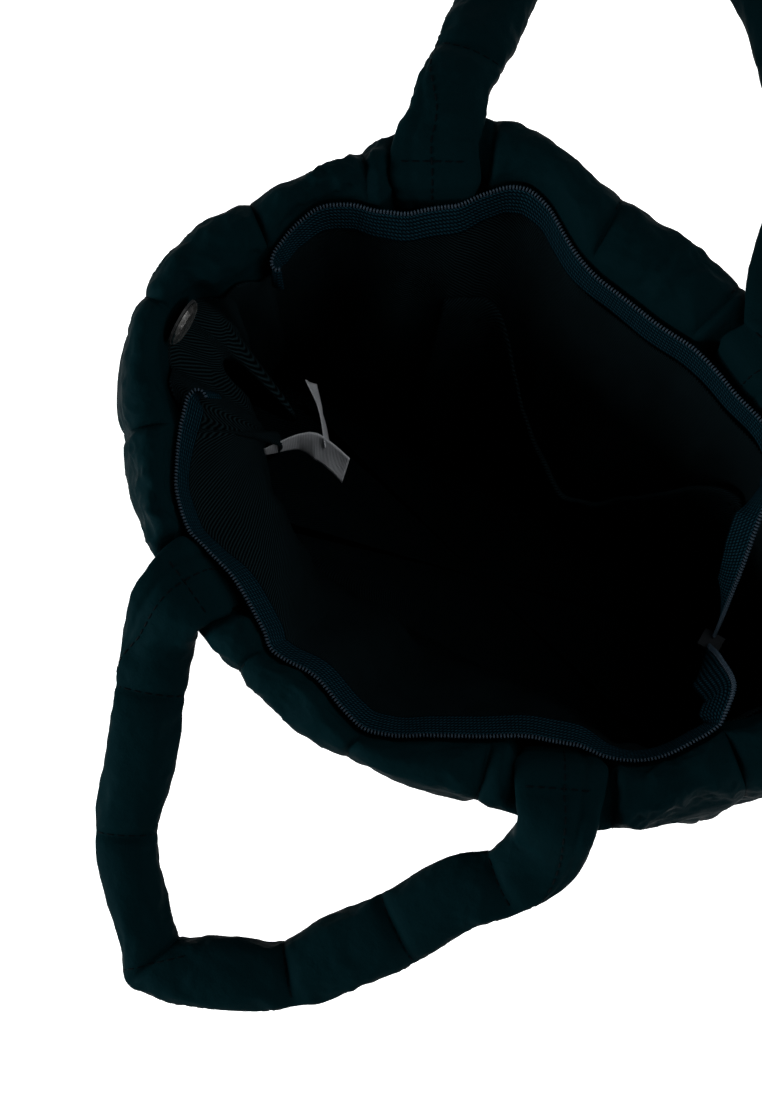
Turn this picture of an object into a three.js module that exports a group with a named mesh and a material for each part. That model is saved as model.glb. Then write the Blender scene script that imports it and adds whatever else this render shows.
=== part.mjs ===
// A soft pillow tote: padded panels quilted in squares, open at the top, with a lining, an open zip,
// a slip pocket and two padded tube handles that have flopped outward over the rim.
// Millimetres, +Z up, +X to the bag's right end, -Y to its front; the origin is on the floor under the base.
// A station counts pillows round the wall, anticlockwise from the front left corner: the front panel is
// 0 to 6, the right gusset 6 to 8, the back panel 8 to 14 and the left gusset 14 to 16.
import * as THREE from "three";

// Main sizes of the bag
const RIM_HEIGHT = 262;
const STATIONS_ROUND = 16;
const QUILT_ROWS = [8, 58, 108, 158, 208];
const SEAM_FOOT = 4;
const STITCHED_HALF = 1.5;
const WALL_PUFF = 8;
const RIM_PUFF = 4.5;
const INNER_PUFF = 7;
const CLEARANCE = 0.35;
const SEAM_GAP = 0.008;

// Rolled rim: the shoulder where its round cap starts, the foot of the hem inside, and the dips in its top
const CAP_SHOULDER = RIM_HEIGHT - 14;
const HEM_FOOT = RIM_HEIGHT - 30;
const NOTCH_DIP = 5;
const HANDLE_SINK = 9;

// Zip: coil and tape
const COIL_RADIUS = 1.7;
const COIL_HEIGHT = RIM_HEIGHT - 12;
const COIL_CLEARANCE = 0.8;
const TAPE_WIDTH = 14;
const TAPE_THICKNESS = 1;
const TAPE_LEAN = THREE.MathUtils.degToRad(25);
const HEM_LIP = 7;

// Handles: where they cross the rim, and the room for their flat ends between hem and zip
const HANDLE_STATIONS = { front: [1.46, 4.54], back: [12.46, 9.5] };
const HANDLE_HALF_SPAN = 0.45;
const TONGUE_ROOM = 8;
const RING_STEP = 14;
const PINCH = { thickness: 0.26, width: 0.1 };
const HANDLE_END = { width: 34, tongue: 5.6, bend: 6.4, crown: 9, root: 11, over: 5.6, past: 3 };
const TONGUE_FOOT = RIM_HEIGHT - 21;
const HANDLE_BEND = THREE.MathUtils.degToRad(47);

// Cloth of the lining and pocket
const CLOTH = 1.2;
const LINING_INSET = 13;
const LINING_FLOOR = 14;
const LINING_ROWS = 7;
const POCKET = { first: 8.8, last: 12.2, foot: 70, mouth: 180, sag: 37, sag_station: 10.3, flare: 1.6 };

// Plan of the stitched wall by height: a corner, and how far each side bows out past its chord
const WALL_SECTIONS = [
  { height: 0, corner_x: 140, corner_y: 45, front_bow: 3, back_bow: 3, gusset_bow: 2 },
  { height: 90, corner_x: 139.3, corner_y: 46.7, front_bow: 15, back_bow: 16, gusset_bow: 6 },
  { height: 180, corner_x: 138.6, corner_y: 48.4, front_bow: 39, back_bow: 43, gusset_bow: 11 },
  { height: 262, corner_x: 138, corner_y: 50, front_bow: 66, back_bow: 73, gusset_bow: 18 },
];

// Stretches of the rim that the flopped handles draw outward, dying out below
const RIM_PULLS = [
  { station: 0, reach: 1.1, pull: -6 },
  { station: 1.3, reach: 0.8, pull: 2 },
  { station: 2.6, reach: 0.9, pull: 3 },
  { station: 4, reach: 0.7, pull: -2.5 },
  { station: 5.1, reach: 1.1, pull: 5 },
  { station: 9.8, reach: 1.6, pull: 6 },
  { station: 12.1, reach: 1.6, pull: 26 },
  { station: 14.3, reach: 0.8, pull: 3 },
];
const PULL_DEPTH = 90;
// Share of the back's length by which its middle stitch lines sit towards the left end at the rim
const BACK_SLIDE = 0.05;

// Waves of the open zip: how far the coil lies inside the stitched wall
const FRONT_ZIP = [
  { station: -0.27, inset: 20 },
  { station: 0.05, inset: 16 },
  { station: 0.3, inset: 12.7 },
  { station: 0.57, inset: 10.3 },
  { station: 0.84, inset: 11.3 },
  { station: 1.1, inset: 15.8 },
  { station: 1.4, inset: 18.8 },
  { station: 1.9, inset: 14 },
  { station: 2.05, inset: 11 },
  { station: 2.45, inset: 15.3 },
  { station: 2.85, inset: 10.5 },
  { station: 3, inset: 8.8 },
  { station: 3.2, inset: 10.8 },
  { station: 3.5, inset: 16.5 },
  { station: 3.95, inset: 21 },
  { station: 4.4, inset: 26.7 },
  { station: 4.7, inset: 27.7 },
  { station: 5, inset: 23.4 },
  { station: 5.5, inset: 18.2 },
  { station: 5.8, inset: 20.4 },
  { station: 6, inset: 23.8 },
];
const BACK_ZIP = [
  { station: 8.7, inset: 29 },
  { station: 9, inset: 21.7 },
  { station: 9.5, inset: 26.5 },
  { station: 9.9, inset: 26.9 },
  { station: 10.4, inset: 29.7 },
  { station: 10.8, inset: 29 },
  { station: 11.07, inset: 27 },
  { station: 11.3, inset: 23.4 },
  { station: 11.5, inset: 19 },
  { station: 11.65, inset: 18 },
  { station: 11.8, inset: 20.3 },
  { station: 12, inset: 26.6 },
  { station: 12.25, inset: 32.5 },
  { station: 12.6, inset: 30.7 },
  { station: 12.9, inset: 22.7 },
  { station: 13.17, inset: 13.8 },
  { station: 13.45, inset: 10.3 },
  { station: 13.7, inset: 12.7 },
  { station: 13.95, inset: 17.8 },
];

// Free right ends of the zip, hanging into the bag, with the level direction in which the tape leans
const FRONT_TAIL = [
  { x: 118, y: -28, z: 249, lean_x: -0.5, lean_y: 0.1 },
  { x: 116, y: -17, z: 243, lean_x: -0.5, lean_y: 0 },
  { x: 107, y: -8, z: 226, lean_x: -0.4, lean_y: -0.3 },
  { x: 101, y: -2.3, z: 203, lean_x: 0, lean_y: -0.6 },
];
const BACK_TAIL = [
  { x: 93, y: 42, z: 248, lean_x: -0.5, lean_y: -0.2 },
  { x: 96, y: 27, z: 240, lean_x: -0.5, lean_y: 0 },
  { x: 99, y: 11, z: 224, lean_x: -0.4, lean_y: 0.3 },
  { x: 101, y: 2.3, z: 203, lean_x: 0, lean_y: 0.6 },
];

// Hem of the gussets: its reach inside the wall, and how much further its foot comes in
const LEFT_HEM = [
  { station: 14, reach: 15.3, lip: 7 },
  { station: 14.5, reach: 17.5, lip: 3 },
  { station: 14.9, reach: 9, lip: 1.5 },
  { station: 15.1, reach: 8, lip: 1.5 },
  { station: 15.5, reach: 10.6, lip: 3 },
  { station: 16, reach: 14.1, lip: 7 },
];
const RIGHT_HEM = [
  { station: 6, reach: 21.3, lip: 7 },
  { station: 6.5, reach: 18, lip: 4 },
  { station: 7, reach: 12, lip: 3 },
  { station: 7.5, reach: 18, lip: 4 },
  { station: 8, reach: 26.5, lip: 7 },
];

// Loose folds of the lining: each bulges inward round a place on the wall
const LINING_FOLDS = [
  { station: 0.35, span: 1.5, height: 200, rise: 42, drop: 120, depth: 42 },
  { station: 15.0, span: 0.9, height: 205, rise: 34, drop: 90, depth: 12 },
  { station: 3.0, span: 1.8, height: 150, rise: 75, drop: 90, depth: 7 },
];

// Routes of the free stretch of each handle; width is level, thickness across it, stitch marks a cross seam
const FRONT_HANDLE = [
  { x: -85, y: -114, z: 247, width: 29, thickness: 17, stitch: 0 },
  { x: -80, y: -131, z: 240, width: 26, thickness: 20, stitch: 1 },
  { x: -71, y: -157, z: 228, width: 28, thickness: 22, stitch: 0 },
  { x: -63, y: -183, z: 217, width: 26, thickness: 21, stitch: 1 },
  { x: -47, y: -205, z: 209, width: 29, thickness: 22, stitch: 0 },
  { x: -28, y: -221, z: 204, width: 30, thickness: 19, stitch: 1 },
  { x: -8, y: -213, z: 204, width: 28, thickness: 22, stitch: 0 },
  { x: 19, y: -197, z: 206, width: 27, thickness: 21, stitch: 1 },
  { x: 34, y: -179, z: 212, width: 31, thickness: 22, stitch: 0 },
  { x: 46, y: -159, z: 218, width: 26, thickness: 21, stitch: 1 },
  { x: 64, y: -137, z: 227, width: 28, thickness: 22, stitch: 0 },
  { x: 80, y: -117, z: 238, width: 29, thickness: 19, stitch: 1 },
];
const BACK_HANDLE = [
  { x: -97, y: 134, z: 256, width: 31, thickness: 15, stitch: 0 },
  { x: -100, y: 150, z: 248, width: 29, thickness: 20, stitch: 1 },
  { x: -102, y: 165, z: 237, width: 30, thickness: 22, stitch: 0 },
  { x: -104, y: 187, z: 231, width: 29, thickness: 21, stitch: 1 },
  { x: -100, y: 216, z: 226, width: 29, thickness: 22, stitch: 0 },
  { x: -85, y: 239, z: 224, width: 29, thickness: 20, stitch: 1 },
  { x: -62, y: 247, z: 226, width: 29, thickness: 22, stitch: 0 },
  { x: -36, y: 245, z: 230, width: 29, thickness: 21, stitch: 1 },
  { x: -12, y: 235, z: 235, width: 28, thickness: 22, stitch: 0 },
  { x: 13, y: 212, z: 242, width: 27, thickness: 21, stitch: 1 },
  { x: 32, y: 189, z: 247, width: 27, thickness: 22, stitch: 0 },
  { x: 44, y: 162, z: 251, width: 27, thickness: 18, stitch: 1 },
];

// Snap on the left gusset's hem, zip slider at the joined end, and the care label's two leaves
const SNAP_HEIGHT = RIM_HEIGHT - 19;
const SNAP = { station: 15, seat: 3.9, radius: 9.5, dome: 2.4, washer_radius: 10, washer: 0.9 };
const SLIDER = { x: 101, y: 0, top: 202, width: 9, depth: 7, length: 12 };
const PULL = { width: 6, length: 22, thickness: 2 };
const LABEL_THICKNESS = 0.8;
const LABEL_SEAT = { station: 0.5, lining_row: 1, rise: 5, drop: 13 };
const LABEL_LOWER = [
  { x: -71, y: -11, z: 207, across_x: 1, across_y: 2, across_z: -14 },
  { x: -62, y: -9, z: 204, across_x: 1, across_y: 1, across_z: -13 },
  { x: -57, y: -12, z: 200, across_x: 0, across_y: 0, across_z: -12 },
];
const LABEL_UPPER = [
  { x: -72, y: -9.9, z: 205, across_x: 1, across_y: 2.2, across_z: -13 },
  { x: -82, y: 2, z: 210, across_x: 1, across_y: 1, across_z: -16 },
  { x: -92, y: 9, z: 213, across_x: 3, across_y: 3, across_z: -15 },
];

const SIDES = [
  { first: 0, last: 6, bow: "front_bow", half: "corner_x", away: "corner_y", turn: 0 },
  { first: 6, last: 8, bow: "gusset_bow", half: "corner_y", away: "corner_x", turn: Math.PI / 2 },
  { first: 8, last: 14, bow: "back_bow", half: "corner_x", away: "corner_y", turn: Math.PI, slide: BACK_SLIDE },
  { first: 14, last: 16, bow: "gusset_bow", half: "corner_y", away: "corner_x", turn: 1.5 * Math.PI },
];
const PILLOW_STEPS = [0, 0.1, 0.5, 0.9];
const TOP_STEPS = [0, 0.13, 0.45];
const CORNER_NEAR = 0.02;

// A table's row at a value of one column, with the others read between its neighbours
function rowAt(table, column, value) {
  const last = table.length - 1;
  if (value <= table[0][column]) return table[0];
  if (value >= table[last][column]) return table[last];
  const next = table.findIndex((row) => row[column] > value);
  const low = table[next - 1];
  const high = table[next];
  const share = (value - low[column]) / (high[column] - low[column]);
  const names = Object.keys(low);
  return Object.fromEntries(names.map((name) => [name, THREE.MathUtils.lerp(low[name], high[name], share)]));
}

// One at the middle of a bump and nothing past its ends
function bump(distance) {
  return Math.abs(distance) < 1 ? Math.cos((distance * Math.PI) / 2) ** 2 : 0;
}

// How full a pillow is at a share of its width: nothing at a stitch line
function fullness(share) {
  return share < CORNER_NEAR || share > 1 - CORNER_NEAR ? 0 : Math.sqrt(Math.sin(Math.PI * share));
}

function wrapped(station) {
  return ((station % STATIONS_ROUND) + STATIONS_ROUND) % STATIONS_ROUND;
}

// Stations from one place to another the shorter way round
function turnFrom(middle, station) {
  return wrapped(station - middle + STATIONS_ROUND / 2) - STATIONS_ROUND / 2;
}

// A side's place and outward direction at a share of its length, on an arc over its chord
function sideFrame(side, share, section) {
  const half = section[side.half];
  const bow = section[side.bow];
  const radius = (half * half + bow * bow) / (2 * bow);
  const angle = (2 * share - 1) * Math.asin(half / radius);
  const along = radius * Math.sin(angle);
  const out = section[side.away] + bow - radius * (1 - Math.cos(angle));
  const origin = new THREE.Vector2();
  return {
    place: new THREE.Vector2(along, -out).rotateAround(origin, side.turn),
    outward: new THREE.Vector2(Math.sin(angle), -Math.cos(angle)).rotateAround(origin, side.turn),
  };
}

// The stitched wall's place and outward direction, mitred at the corner seams
function wallAt(station, height) {
  const around = wrapped(station);
  const section = rowAt(WALL_SECTIONS, "height", height);
  const index = SIDES.findIndex(({ last }) => around < last);
  const side = SIDES[index];
  const share = (around - side.first) / (side.last - side.first);
  const slide = (side.slide ?? 0) * Math.sin(Math.PI * share) * (height / RIM_HEIGHT);
  const frame = sideFrame(side, share + slide, section);
  if (around - side.first < CORNER_NEAR) {
    frame.outward.add(sideFrame(SIDES[(index + 3) % 4], 1, section).outward).normalize();
  } else if (side.last - around < CORNER_NEAR) {
    frame.outward.add(sideFrame(SIDES[(index + 1) % 4], 0, section).outward).normalize();
  }
  const rise = THREE.MathUtils.smoothstep(height, RIM_HEIGHT - PULL_DEPTH, RIM_HEIGHT);
  const pull = RIM_PULLS.reduce((sum, row) => {
    return sum + row.pull * bump(turnFrom(row.station, around) / row.reach);
  }, 0);
  frame.place.addScaledVector(frame.outward, pull * rise);
  return frame;
}

// A point a given way out from the stitched wall
function offWall(station, out, height) {
  const { place, outward } = wallAt(station, height);
  return new THREE.Vector3(place.x + outward.x * out, place.y + outward.y * out, height);
}

// The same, square to the wall where it ends at the rim, for all that is sewn along the rim
function offRim(station, out, height) {
  return offWall(station, out, COIL_HEIGHT).setZ(height);
}

function fullAcross(station) {
  return fullness(station - Math.floor(station));
}

function fullUp(height) {
  const row = QUILT_ROWS.findLastIndex((line) => height >= line);
  if (row < 0) return 0;
  if (row === QUILT_ROWS.length - 1) {
    return fullness(0.5 * Math.min(1, (height - QUILT_ROWS[row]) / (HEM_FOOT - QUILT_ROWS[row])));
  }
  return fullness((height - QUILT_ROWS[row]) / (QUILT_ROWS[row + 1] - QUILT_ROWS[row]));
}

function outerFace(station, height) {
  const rise = THREE.MathUtils.clamp((height - HEM_FOOT) / (CAP_SHOULDER - HEM_FOOT), 0, 1);
  const puff = THREE.MathUtils.lerp(WALL_PUFF, RIM_PUFF, rise);
  return STITCHED_HALF + puff * fullAcross(station) * fullUp(height);
}

function innerFace(station, height) {
  return -STITCHED_HALF - INNER_PUFF * fullAcross(station) * fullUp(height);
}

function underHandle(station) {
  const all = [...HANDLE_STATIONS.front, ...HANDLE_STATIONS.back];
  return all.some((middle) => Math.abs(station - middle) < HANDLE_HALF_SPAN);
}

// The rim at a station: outer edge, reach of the hem inside, lip at its foot, and height of its top
function rimAt(station) {
  const around = wrapped(station);
  const handle = underHandle(around);
  const dip = NOTCH_DIP * (1 - fullAcross(around)) + (handle ? HANDLE_SINK : 0);
  const rim = { outer: outerFace(around, CAP_SHOULDER), top: RIM_HEIGHT - dip, lip: HEM_LIP };
  if (around >= 14) Object.assign(rim, rowAt(LEFT_HEM, "station", around));
  else if (around >= 6 && around < 8) Object.assign(rim, rowAt(RIGHT_HEM, "station", around));
  else {
    const { inset } = rowAt(around < 6 ? FRONT_ZIP : BACK_ZIP, "station", around);
    rim.reach = inset - COIL_RADIUS - COIL_CLEARANCE - (handle ? TONGUE_ROOM : 0);
  }
  const { place, outward } = wallAt(around, COIL_HEIGHT);
  const wallSlope = place.sub(wallAt(around, HEM_FOOT).place).dot(outward);
  rim.lip = Math.max(rim.lip, wallSlope - innerFace(around, HEM_FOOT) + STITCHED_HALF - rim.reach);
  rim.middle = (rim.outer - rim.reach) / 2;
  rim.half = (rim.outer + rim.reach) / 2;
  return rim;
}

// Turns vertices and triangles into a geometry that faces outward
function solidGeometry(points, triangles) {
  const geometry = new THREE.BufferGeometry().setFromPoints(points);
  const corner = (index) => points[index];
  const volume = triangles.reduce((sum, [a, b, c]) => {
    return sum + corner(a).dot(new THREE.Vector3().crossVectors(corner(b), corner(c)));
  }, 0);
  const faces = volume > 0 ? triangles : triangles.map(([a, b, c]) => [a, c, b]);
  geometry.setIndex(faces.flat());
  geometry.computeVertexNormals();
  return geometry;
}

// Joins rings of equal count into a closed solid; each end is closed by the given triangles of its ring
function loftRings(rings, endTriangles) {
  const count = rings[0].length;
  const triangles = [];
  for (let ring = 0; ring + 1 < rings.length; ring += 1) {
    for (let step = 0; step < count; step += 1) {
      const next = (step + 1) % count;
      const [a, b] = [ring * count + step, ring * count + next];
      triangles.push([a, b, b + count], [a, b + count, a + count]);
    }
  }
  const end = (rings.length - 1) * count;
  endTriangles(rings[0]).forEach(([a, b, c]) => triangles.push([a, c, b]));
  endTriangles(rings[rings.length - 1]).forEach(([a, b, c]) => triangles.push([end + a, end + b, end + c]));
  return solidGeometry(rings.flat(), triangles);
}

// Triangles that fan over a convex ring from its first corner
function fanOver(ring) {
  return ring.slice(2).map((_, index) => [0, index + 1, index + 2]);
}

// A closed solid from a sheet: a grid of points with its outer face, and the same grid with its inner one
function sheetSolid(outer, inner) {
  const rings = outer.map((row, index) => [...row, ...inner[index].slice().reverse()]);
  const count = outer[0].length;
  const strip = () => {
    const triangles = [];
    for (let step = 0; step + 1 < count; step += 1) {
      const [a, b] = [step, step + 1];
      const [c, d] = [2 * count - 2 - step, 2 * count - 1 - step];
      triangles.push([a, b, c], [a, c, d]);
    }
    return triangles;
  };
  return loftRings(rings, strip);
}

// Outline of a padded panel's upright section at a station: outer face, rolled rim, hem, inner face
function panelSection(station) {
  const section = [{ out: STITCHED_HALF, height: SEAM_FOOT }];
  const outerAt = (height) => section.push({ out: outerFace(station, height), height });
  QUILT_ROWS.slice(0, -1).forEach((line, row) => {
    PILLOW_STEPS.forEach((share) => outerAt(line + share * (QUILT_ROWS[row + 1] - line)));
  });
  const topLine = QUILT_ROWS[QUILT_ROWS.length - 1];
  TOP_STEPS.forEach((share) => outerAt(topLine + share * (RIM_HEIGHT - topLine)));

  const rim = rimAt(station);
  const capSteps = 6;
  for (let step = 0; step <= capSteps; step += 1) {
    const angle = (step / capSteps) * Math.PI;
    section.push({
      out: rim.middle + rim.half * Math.cos(angle),
      height: CAP_SHOULDER + (rim.top - CAP_SHOULDER) * Math.sin(angle),
      along_rim: true,
    });
  }
  section.push({ out: -rim.reach - rim.lip, height: HEM_FOOT, along_rim: true });
  section.push({ out: innerFace(station, HEM_FOOT), height: HEM_FOOT - CLEARANCE });

  const innerLines = QUILT_ROWS.flatMap((line, row) => [line, (line + (QUILT_ROWS[row + 1] ?? line)) / 2]);
  innerLines
    .slice(0, -1)
    .reverse()
    .forEach((height) => section.push({ out: innerFace(station, height), height }));
  section.push({ out: -STITCHED_HALF, height: SEAM_FOOT });
  return section;
}

// A padded panel between two corner seams
function paddedPanel(first, last) {
  const stations = [];
  for (let pillow = first; pillow < last; pillow += 1) {
    PILLOW_STEPS.forEach((share) => stations.push(pillow + share));
  }
  stations[0] = first + SEAM_GAP;
  stations.push(last - SEAM_GAP);
  const sections = stations.map(panelSection);
  const rings = stations.map((station, index) => {
    return sections[index].map(({ out, height, along_rim }) => {
      return along_rim ? offRim(station, out, height) : offWall(station, out, height);
    });
  });
  const flat = (section) => section.map(({ out, height }) => new THREE.Vector2(out, height));
  const closeEnd = (ring) => {
    const section = ring === rings[0] ? sections[0] : sections[sections.length - 1];
    return THREE.ShapeUtils.triangulateShape(flat(section), []);
  };
  return loftRings(rings, closeEnd);
}

function stationsRound(step) {
  return Array.from({ length: STATIONS_ROUND / step }, (_, index) => index * step);
}

// Padded base: a flat underside, an edge that meets the wall's seam, and a crowned top
function basePanel() {
  const levels = [
    { inset: 14, height: 0 },
    { inset: STITCHED_HALF + 3 * CLEARANCE, height: SEAM_FOOT },
    { inset: STITCHED_HALF + 3 * CLEARANCE, height: SEAM_FOOT + 3 },
    { inset: 16, height: 12 },
  ];
  const rings = levels.map(({ inset, height }) => {
    return stationsRound(0.5).map((station) => {
      const { place, outward } = wallAt(station, SEAM_FOOT);
      return new THREE.Vector3(place.x - outward.x * inset, place.y - outward.y * inset, height);
    });
  });
  return loftRings(rings, fanOver);
}

// How far inside the stitched wall the lining hangs, with its loose folds
function liningInset(station, height) {
  const rim = rimAt(station);
  const top = HEM_FOOT - 2 * CLEARANCE;
  const handleRoom = underHandle(wrapped(station)) ? TONGUE_ROOM : 0;
  const { place, outward } = wallAt(station, top);
  const sewn = offRim(station, CLOTH - rim.reach - handleRoom - rim.lip, top);
  const lip = place.sub(sewn).dot(outward);
  const fall = 1 - THREE.MathUtils.smoothstep(height, LINING_FLOOR, HEM_FOOT);
  const hang = THREE.MathUtils.lerp(lip, LINING_INSET, fall);
  return LINING_FOLDS.reduce((inset, fold) => {
    const above = height - fold.height;
    const level = bump(above / (above > 0 ? fold.rise : fold.drop));
    return inset + fold.depth * bump(turnFrom(fold.station, station) / fold.span) * level;
  }, hang);
}

function liningPoint(station, height, depth) {
  return offWall(station, -liningInset(station, height) - depth, height);
}

function liningHeight(row) {
  return THREE.MathUtils.lerp(HEM_FOOT - 2 * CLEARANCE, LINING_FLOOR, row / LINING_ROWS);
}

// Lining: a cup of cloth from the foot of the hem down to its floor
function liningCup() {
  const heights = Array.from({ length: LINING_ROWS + 1 }, (_, row) => liningHeight(row));
  const stations = stationsRound(0.5);
  const outside = heights.map((height) => stations.map((station) => liningPoint(station, height, 0)));
  const inside = heights.map((height) => {
    const level = height === LINING_FLOOR ? LINING_FLOOR + CLOTH : height;
    return stations.map((station) => liningPoint(station, height, CLOTH).setZ(level));
  });
  return loftRings([...outside.reverse(), ...inside], fanOver);
}

// Slip pocket: a cloth panel sewn to the back wall of the lining, its mouth sagging open
function slipPocket() {
  const across = 14;
  const up = 6;
  const grid = (depth) => {
    return Array.from({ length: across + 1 }, (_, column) => {
      const station = THREE.MathUtils.lerp(POCKET.first, POCKET.last, column / across);
      const half = station < POCKET.sag_station ? POCKET.first : POCKET.last;
      const sag = POCKET.sag * bump((station - POCKET.sag_station) / Math.abs(half - POCKET.sag_station));
      return Array.from({ length: up + 1 }, (_, row) => {
        const share = row / up;
        const height = THREE.MathUtils.lerp(POCKET.foot, POCKET.mouth, share);
        const stand = CLOTH + 3 * CLEARANCE + sag * share ** POCKET.flare;
        return liningPoint(station, height, stand + depth);
      });
    });
  };
  return sheetSolid(grid(0), grid(CLOTH));
}

// The coil's route along a panel's hem and down its free tail, with the direction in which its tape leans
function zipRoute(table, tail) {
  const fromStation = table[0].station;
  const toStation = table[table.length - 1].station;
  const stations = [];
  for (let pillow = Math.floor(fromStation); pillow <= toStation; pillow += 1) {
    PILLOW_STEPS.forEach((share) => stations.push(pillow + share));
  }
  const kept = stations.filter((station) => station > fromStation && station < toStation);
  const onHem = [fromStation, ...kept, toStation].map((station) => {
    const { inset } = rowAt(table, "station", station);
    const { outward } = wallAt(station, COIL_HEIGHT);
    const lean = new THREE.Vector3(-outward.x, -outward.y, 0).multiplyScalar(Math.sin(TAPE_LEAN));
    return { place: offRim(station, -inset, COIL_HEIGHT), lean };
  });
  const free = tail.map(({ x, y, z, lean_x, lean_y }) => {
    return { place: new THREE.Vector3(x, y, z), lean: new THREE.Vector3(lean_x, lean_y, 0) };
  });
  return { onHem, free };
}

function frontZipRoute() {
  const { onHem, free } = zipRoute(FRONT_ZIP, FRONT_TAIL);
  return [...onHem, ...free];
}

function backZipRoute() {
  const { onHem, free } = zipRoute(BACK_ZIP, BACK_TAIL);
  return [...onHem.reverse(), ...free];
}

// Level direction of travel at each place of a route
function headings(places) {
  return places.map((place, index) => {
    const from = places[Math.max(0, index - 1)];
    const to = places[Math.min(places.length - 1, index + 1)];
    return new THREE.Vector3().subVectors(to, from);
  });
}

// Zip tape: a woven strip that hangs from the coil
function zipTape(route) {
  const travel = headings(route.map(({ place }) => place));
  const rings = route.map(({ place, lean }, index) => {
    const down = new THREE.Vector3(lean.x, lean.y, -Math.sqrt(1 - lean.lengthSq()));
    down.projectOnPlane(travel[index].clone().normalize()).normalize();
    const side = new THREE.Vector3().crossVectors(travel[index], down).setLength(TAPE_THICKNESS / 2);
    const upper = place.clone().addScaledVector(down, COIL_RADIUS + CLEARANCE);
    const lower = place.clone().addScaledVector(down, COIL_RADIUS + TAPE_WIDTH);
    return [upper.clone().add(side), upper.sub(side), lower.clone().sub(side), lower.add(side)];
  });
  return loftRings(rings, fanOver);
}

// Coil: a rod along the edge of its tape
function zipCoil(route) {
  const sides = 6;
  const travel = headings(route.map(({ place }) => place));
  const rings = route.map(({ place }, index) => {
    const across = new THREE.Vector3().crossVectors(travel[index], new THREE.Vector3(0, 0, 1)).normalize();
    const up = new THREE.Vector3().crossVectors(across, travel[index]).normalize();
    return Array.from({ length: sides }, (_, side) => {
      const angle = ((side + 0.5) / sides) * 2 * Math.PI;
      return place
        .clone()
        .addScaledVector(across, COIL_RADIUS * Math.cos(angle))
        .addScaledVector(up, COIL_RADIUS * Math.sin(angle));
    });
  });
  return loftRings(rings, fanOver);
}

// Slider with its pull, a plain block whose top the two coils run into
function zipSlider() {
  const { width, depth, length } = SLIDER;
  const tip = -length - PULL.length;
  const outline = new THREE.Shape();
  outline.moveTo(-width / 2, 0);
  outline.lineTo(-width / 3, -length);
  outline.lineTo(-PULL.width / 2, -length);
  outline.lineTo(-PULL.width / 2, tip);
  outline.lineTo(PULL.width / 2, tip);
  outline.lineTo(PULL.width / 2, -length);
  outline.lineTo(width / 3, -length);
  outline.lineTo(width / 2, 0);
  outline.closePath();
  const body = new THREE.ExtrudeGeometry(outline, { depth, bevelEnabled: false, steps: 1 });
  body.translate(0, 0, -depth / 2);
  const thin = body.getAttribute("position");
  for (let index = 0; index < thin.count; index += 1) {
    if (thin.getY(index) === tip) thin.setZ(index, (thin.getZ(index) * PULL.thickness) / depth);
  }
  body.computeVertexNormals();
  return body;
}

// The flat end of a handle: up between hem and zip, and over the sunk rim
function handleEnd(station) {
  const rim = rimAt(station);
  const { width, tongue, bend, crown, root, over, past } = HANDLE_END;
  const inside = rim.reach + TONGUE_ROOM / 2 - CLEARANCE;
  const slope = CLEARANCE + (rim.lip * (CAP_SHOULDER - TONGUE_FOOT)) / (CAP_SHOULDER - HEM_FOOT);
  const bendOut = rim.middle - (rim.half + over) * Math.cos(HANDLE_BEND);
  const bendHeight = CAP_SHOULDER + (rim.top + over - CAP_SHOULDER) * Math.sin(HANDLE_BEND);
  const rows = [
    { out: -inside - slope, height: TONGUE_FOOT, thickness: tongue },
    { out: -inside, height: CAP_SHOULDER + 1, thickness: tongue },
    { out: bendOut, height: bendHeight, thickness: bend },
    { out: rim.middle, height: rim.top + over, thickness: crown },
    { out: rim.outer + past, height: rim.top + over, thickness: root },
  ];
  return rows.map(({ out, height, thickness }) => {
    const { x, y, z } = offRim(station, out, height);
    return { x, y, z, width, thickness, stitch: 0 };
  });
}

// Handle: a padded tube along its route, pinched at each cross seam
function tubeHandle([first, last], freeRows) {
  const rows = [...handleEnd(first), ...freeRows, ...handleEnd(last).reverse()];
  const points = rows.map(({ x, y, z }) => new THREE.Vector3(x, y, z));
  const curve = new THREE.CatmullRomCurve3(points, false, "centripetal");
  const spans = rows.length - 1;
  const sides = 12;
  const rings = [];
  for (let span = 0; span < spans; span += 1) {
    const steps = Math.max(1, Math.round(points[span].distanceTo(points[span + 1]) / RING_STEP));
    const closing = span === spans - 1 ? 1 : 0;
    for (let step = 0; step < steps + closing; step += 1) {
      const share = step / steps;
      const along = (span + share) / spans;
      const row = rowAt([{ at: 0, ...rows[span] }, { at: 1, ...rows[span + 1] }], "at", share);
      const pinch = step === 0 ? rows[span].stitch : 0;
      const tangent = curve.getTangent(along);
      const level = new THREE.Vector3(-tangent.y, tangent.x, 0).normalize();
      const upright = new THREE.Vector3().crossVectors(tangent, level).normalize();
      const centre = curve.getPoint(along);
      rings.push(
        Array.from({ length: sides }, (_, side) => {
          const angle = (side / sides) * 2 * Math.PI;
          const wide = (row.width / 2) * (1 - PINCH.width * pinch) * Math.cos(angle);
          const thick = (row.thickness / 2) * (1 - PINCH.thickness * pinch) * Math.sin(angle);
          return centre.clone().addScaledVector(level, wide).addScaledVector(upright, thick);
        }),
      );
    }
  }
  return loftRings(rings, fanOver);
}

// Snap: a domed metal cap on a flat disc, turned to face into the bag
function snapDome() {
  const { radius, dome } = SNAP;
  const profile = [
    new THREE.Vector2(0, 0),
    new THREE.Vector2(radius, 0),
    new THREE.Vector2(radius, 0.25 * dome),
    new THREE.Vector2(0.8 * radius, 0.7 * dome),
    new THREE.Vector2(0.4 * radius, dome),
    new THREE.Vector2(0, dome),
  ];
  return new THREE.LatheGeometry(profile, 16);
}

function snapWasher() {
  return new THREE.CylinderGeometry(SNAP.washer_radius, SNAP.washer_radius, SNAP.washer, 16);
}

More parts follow.
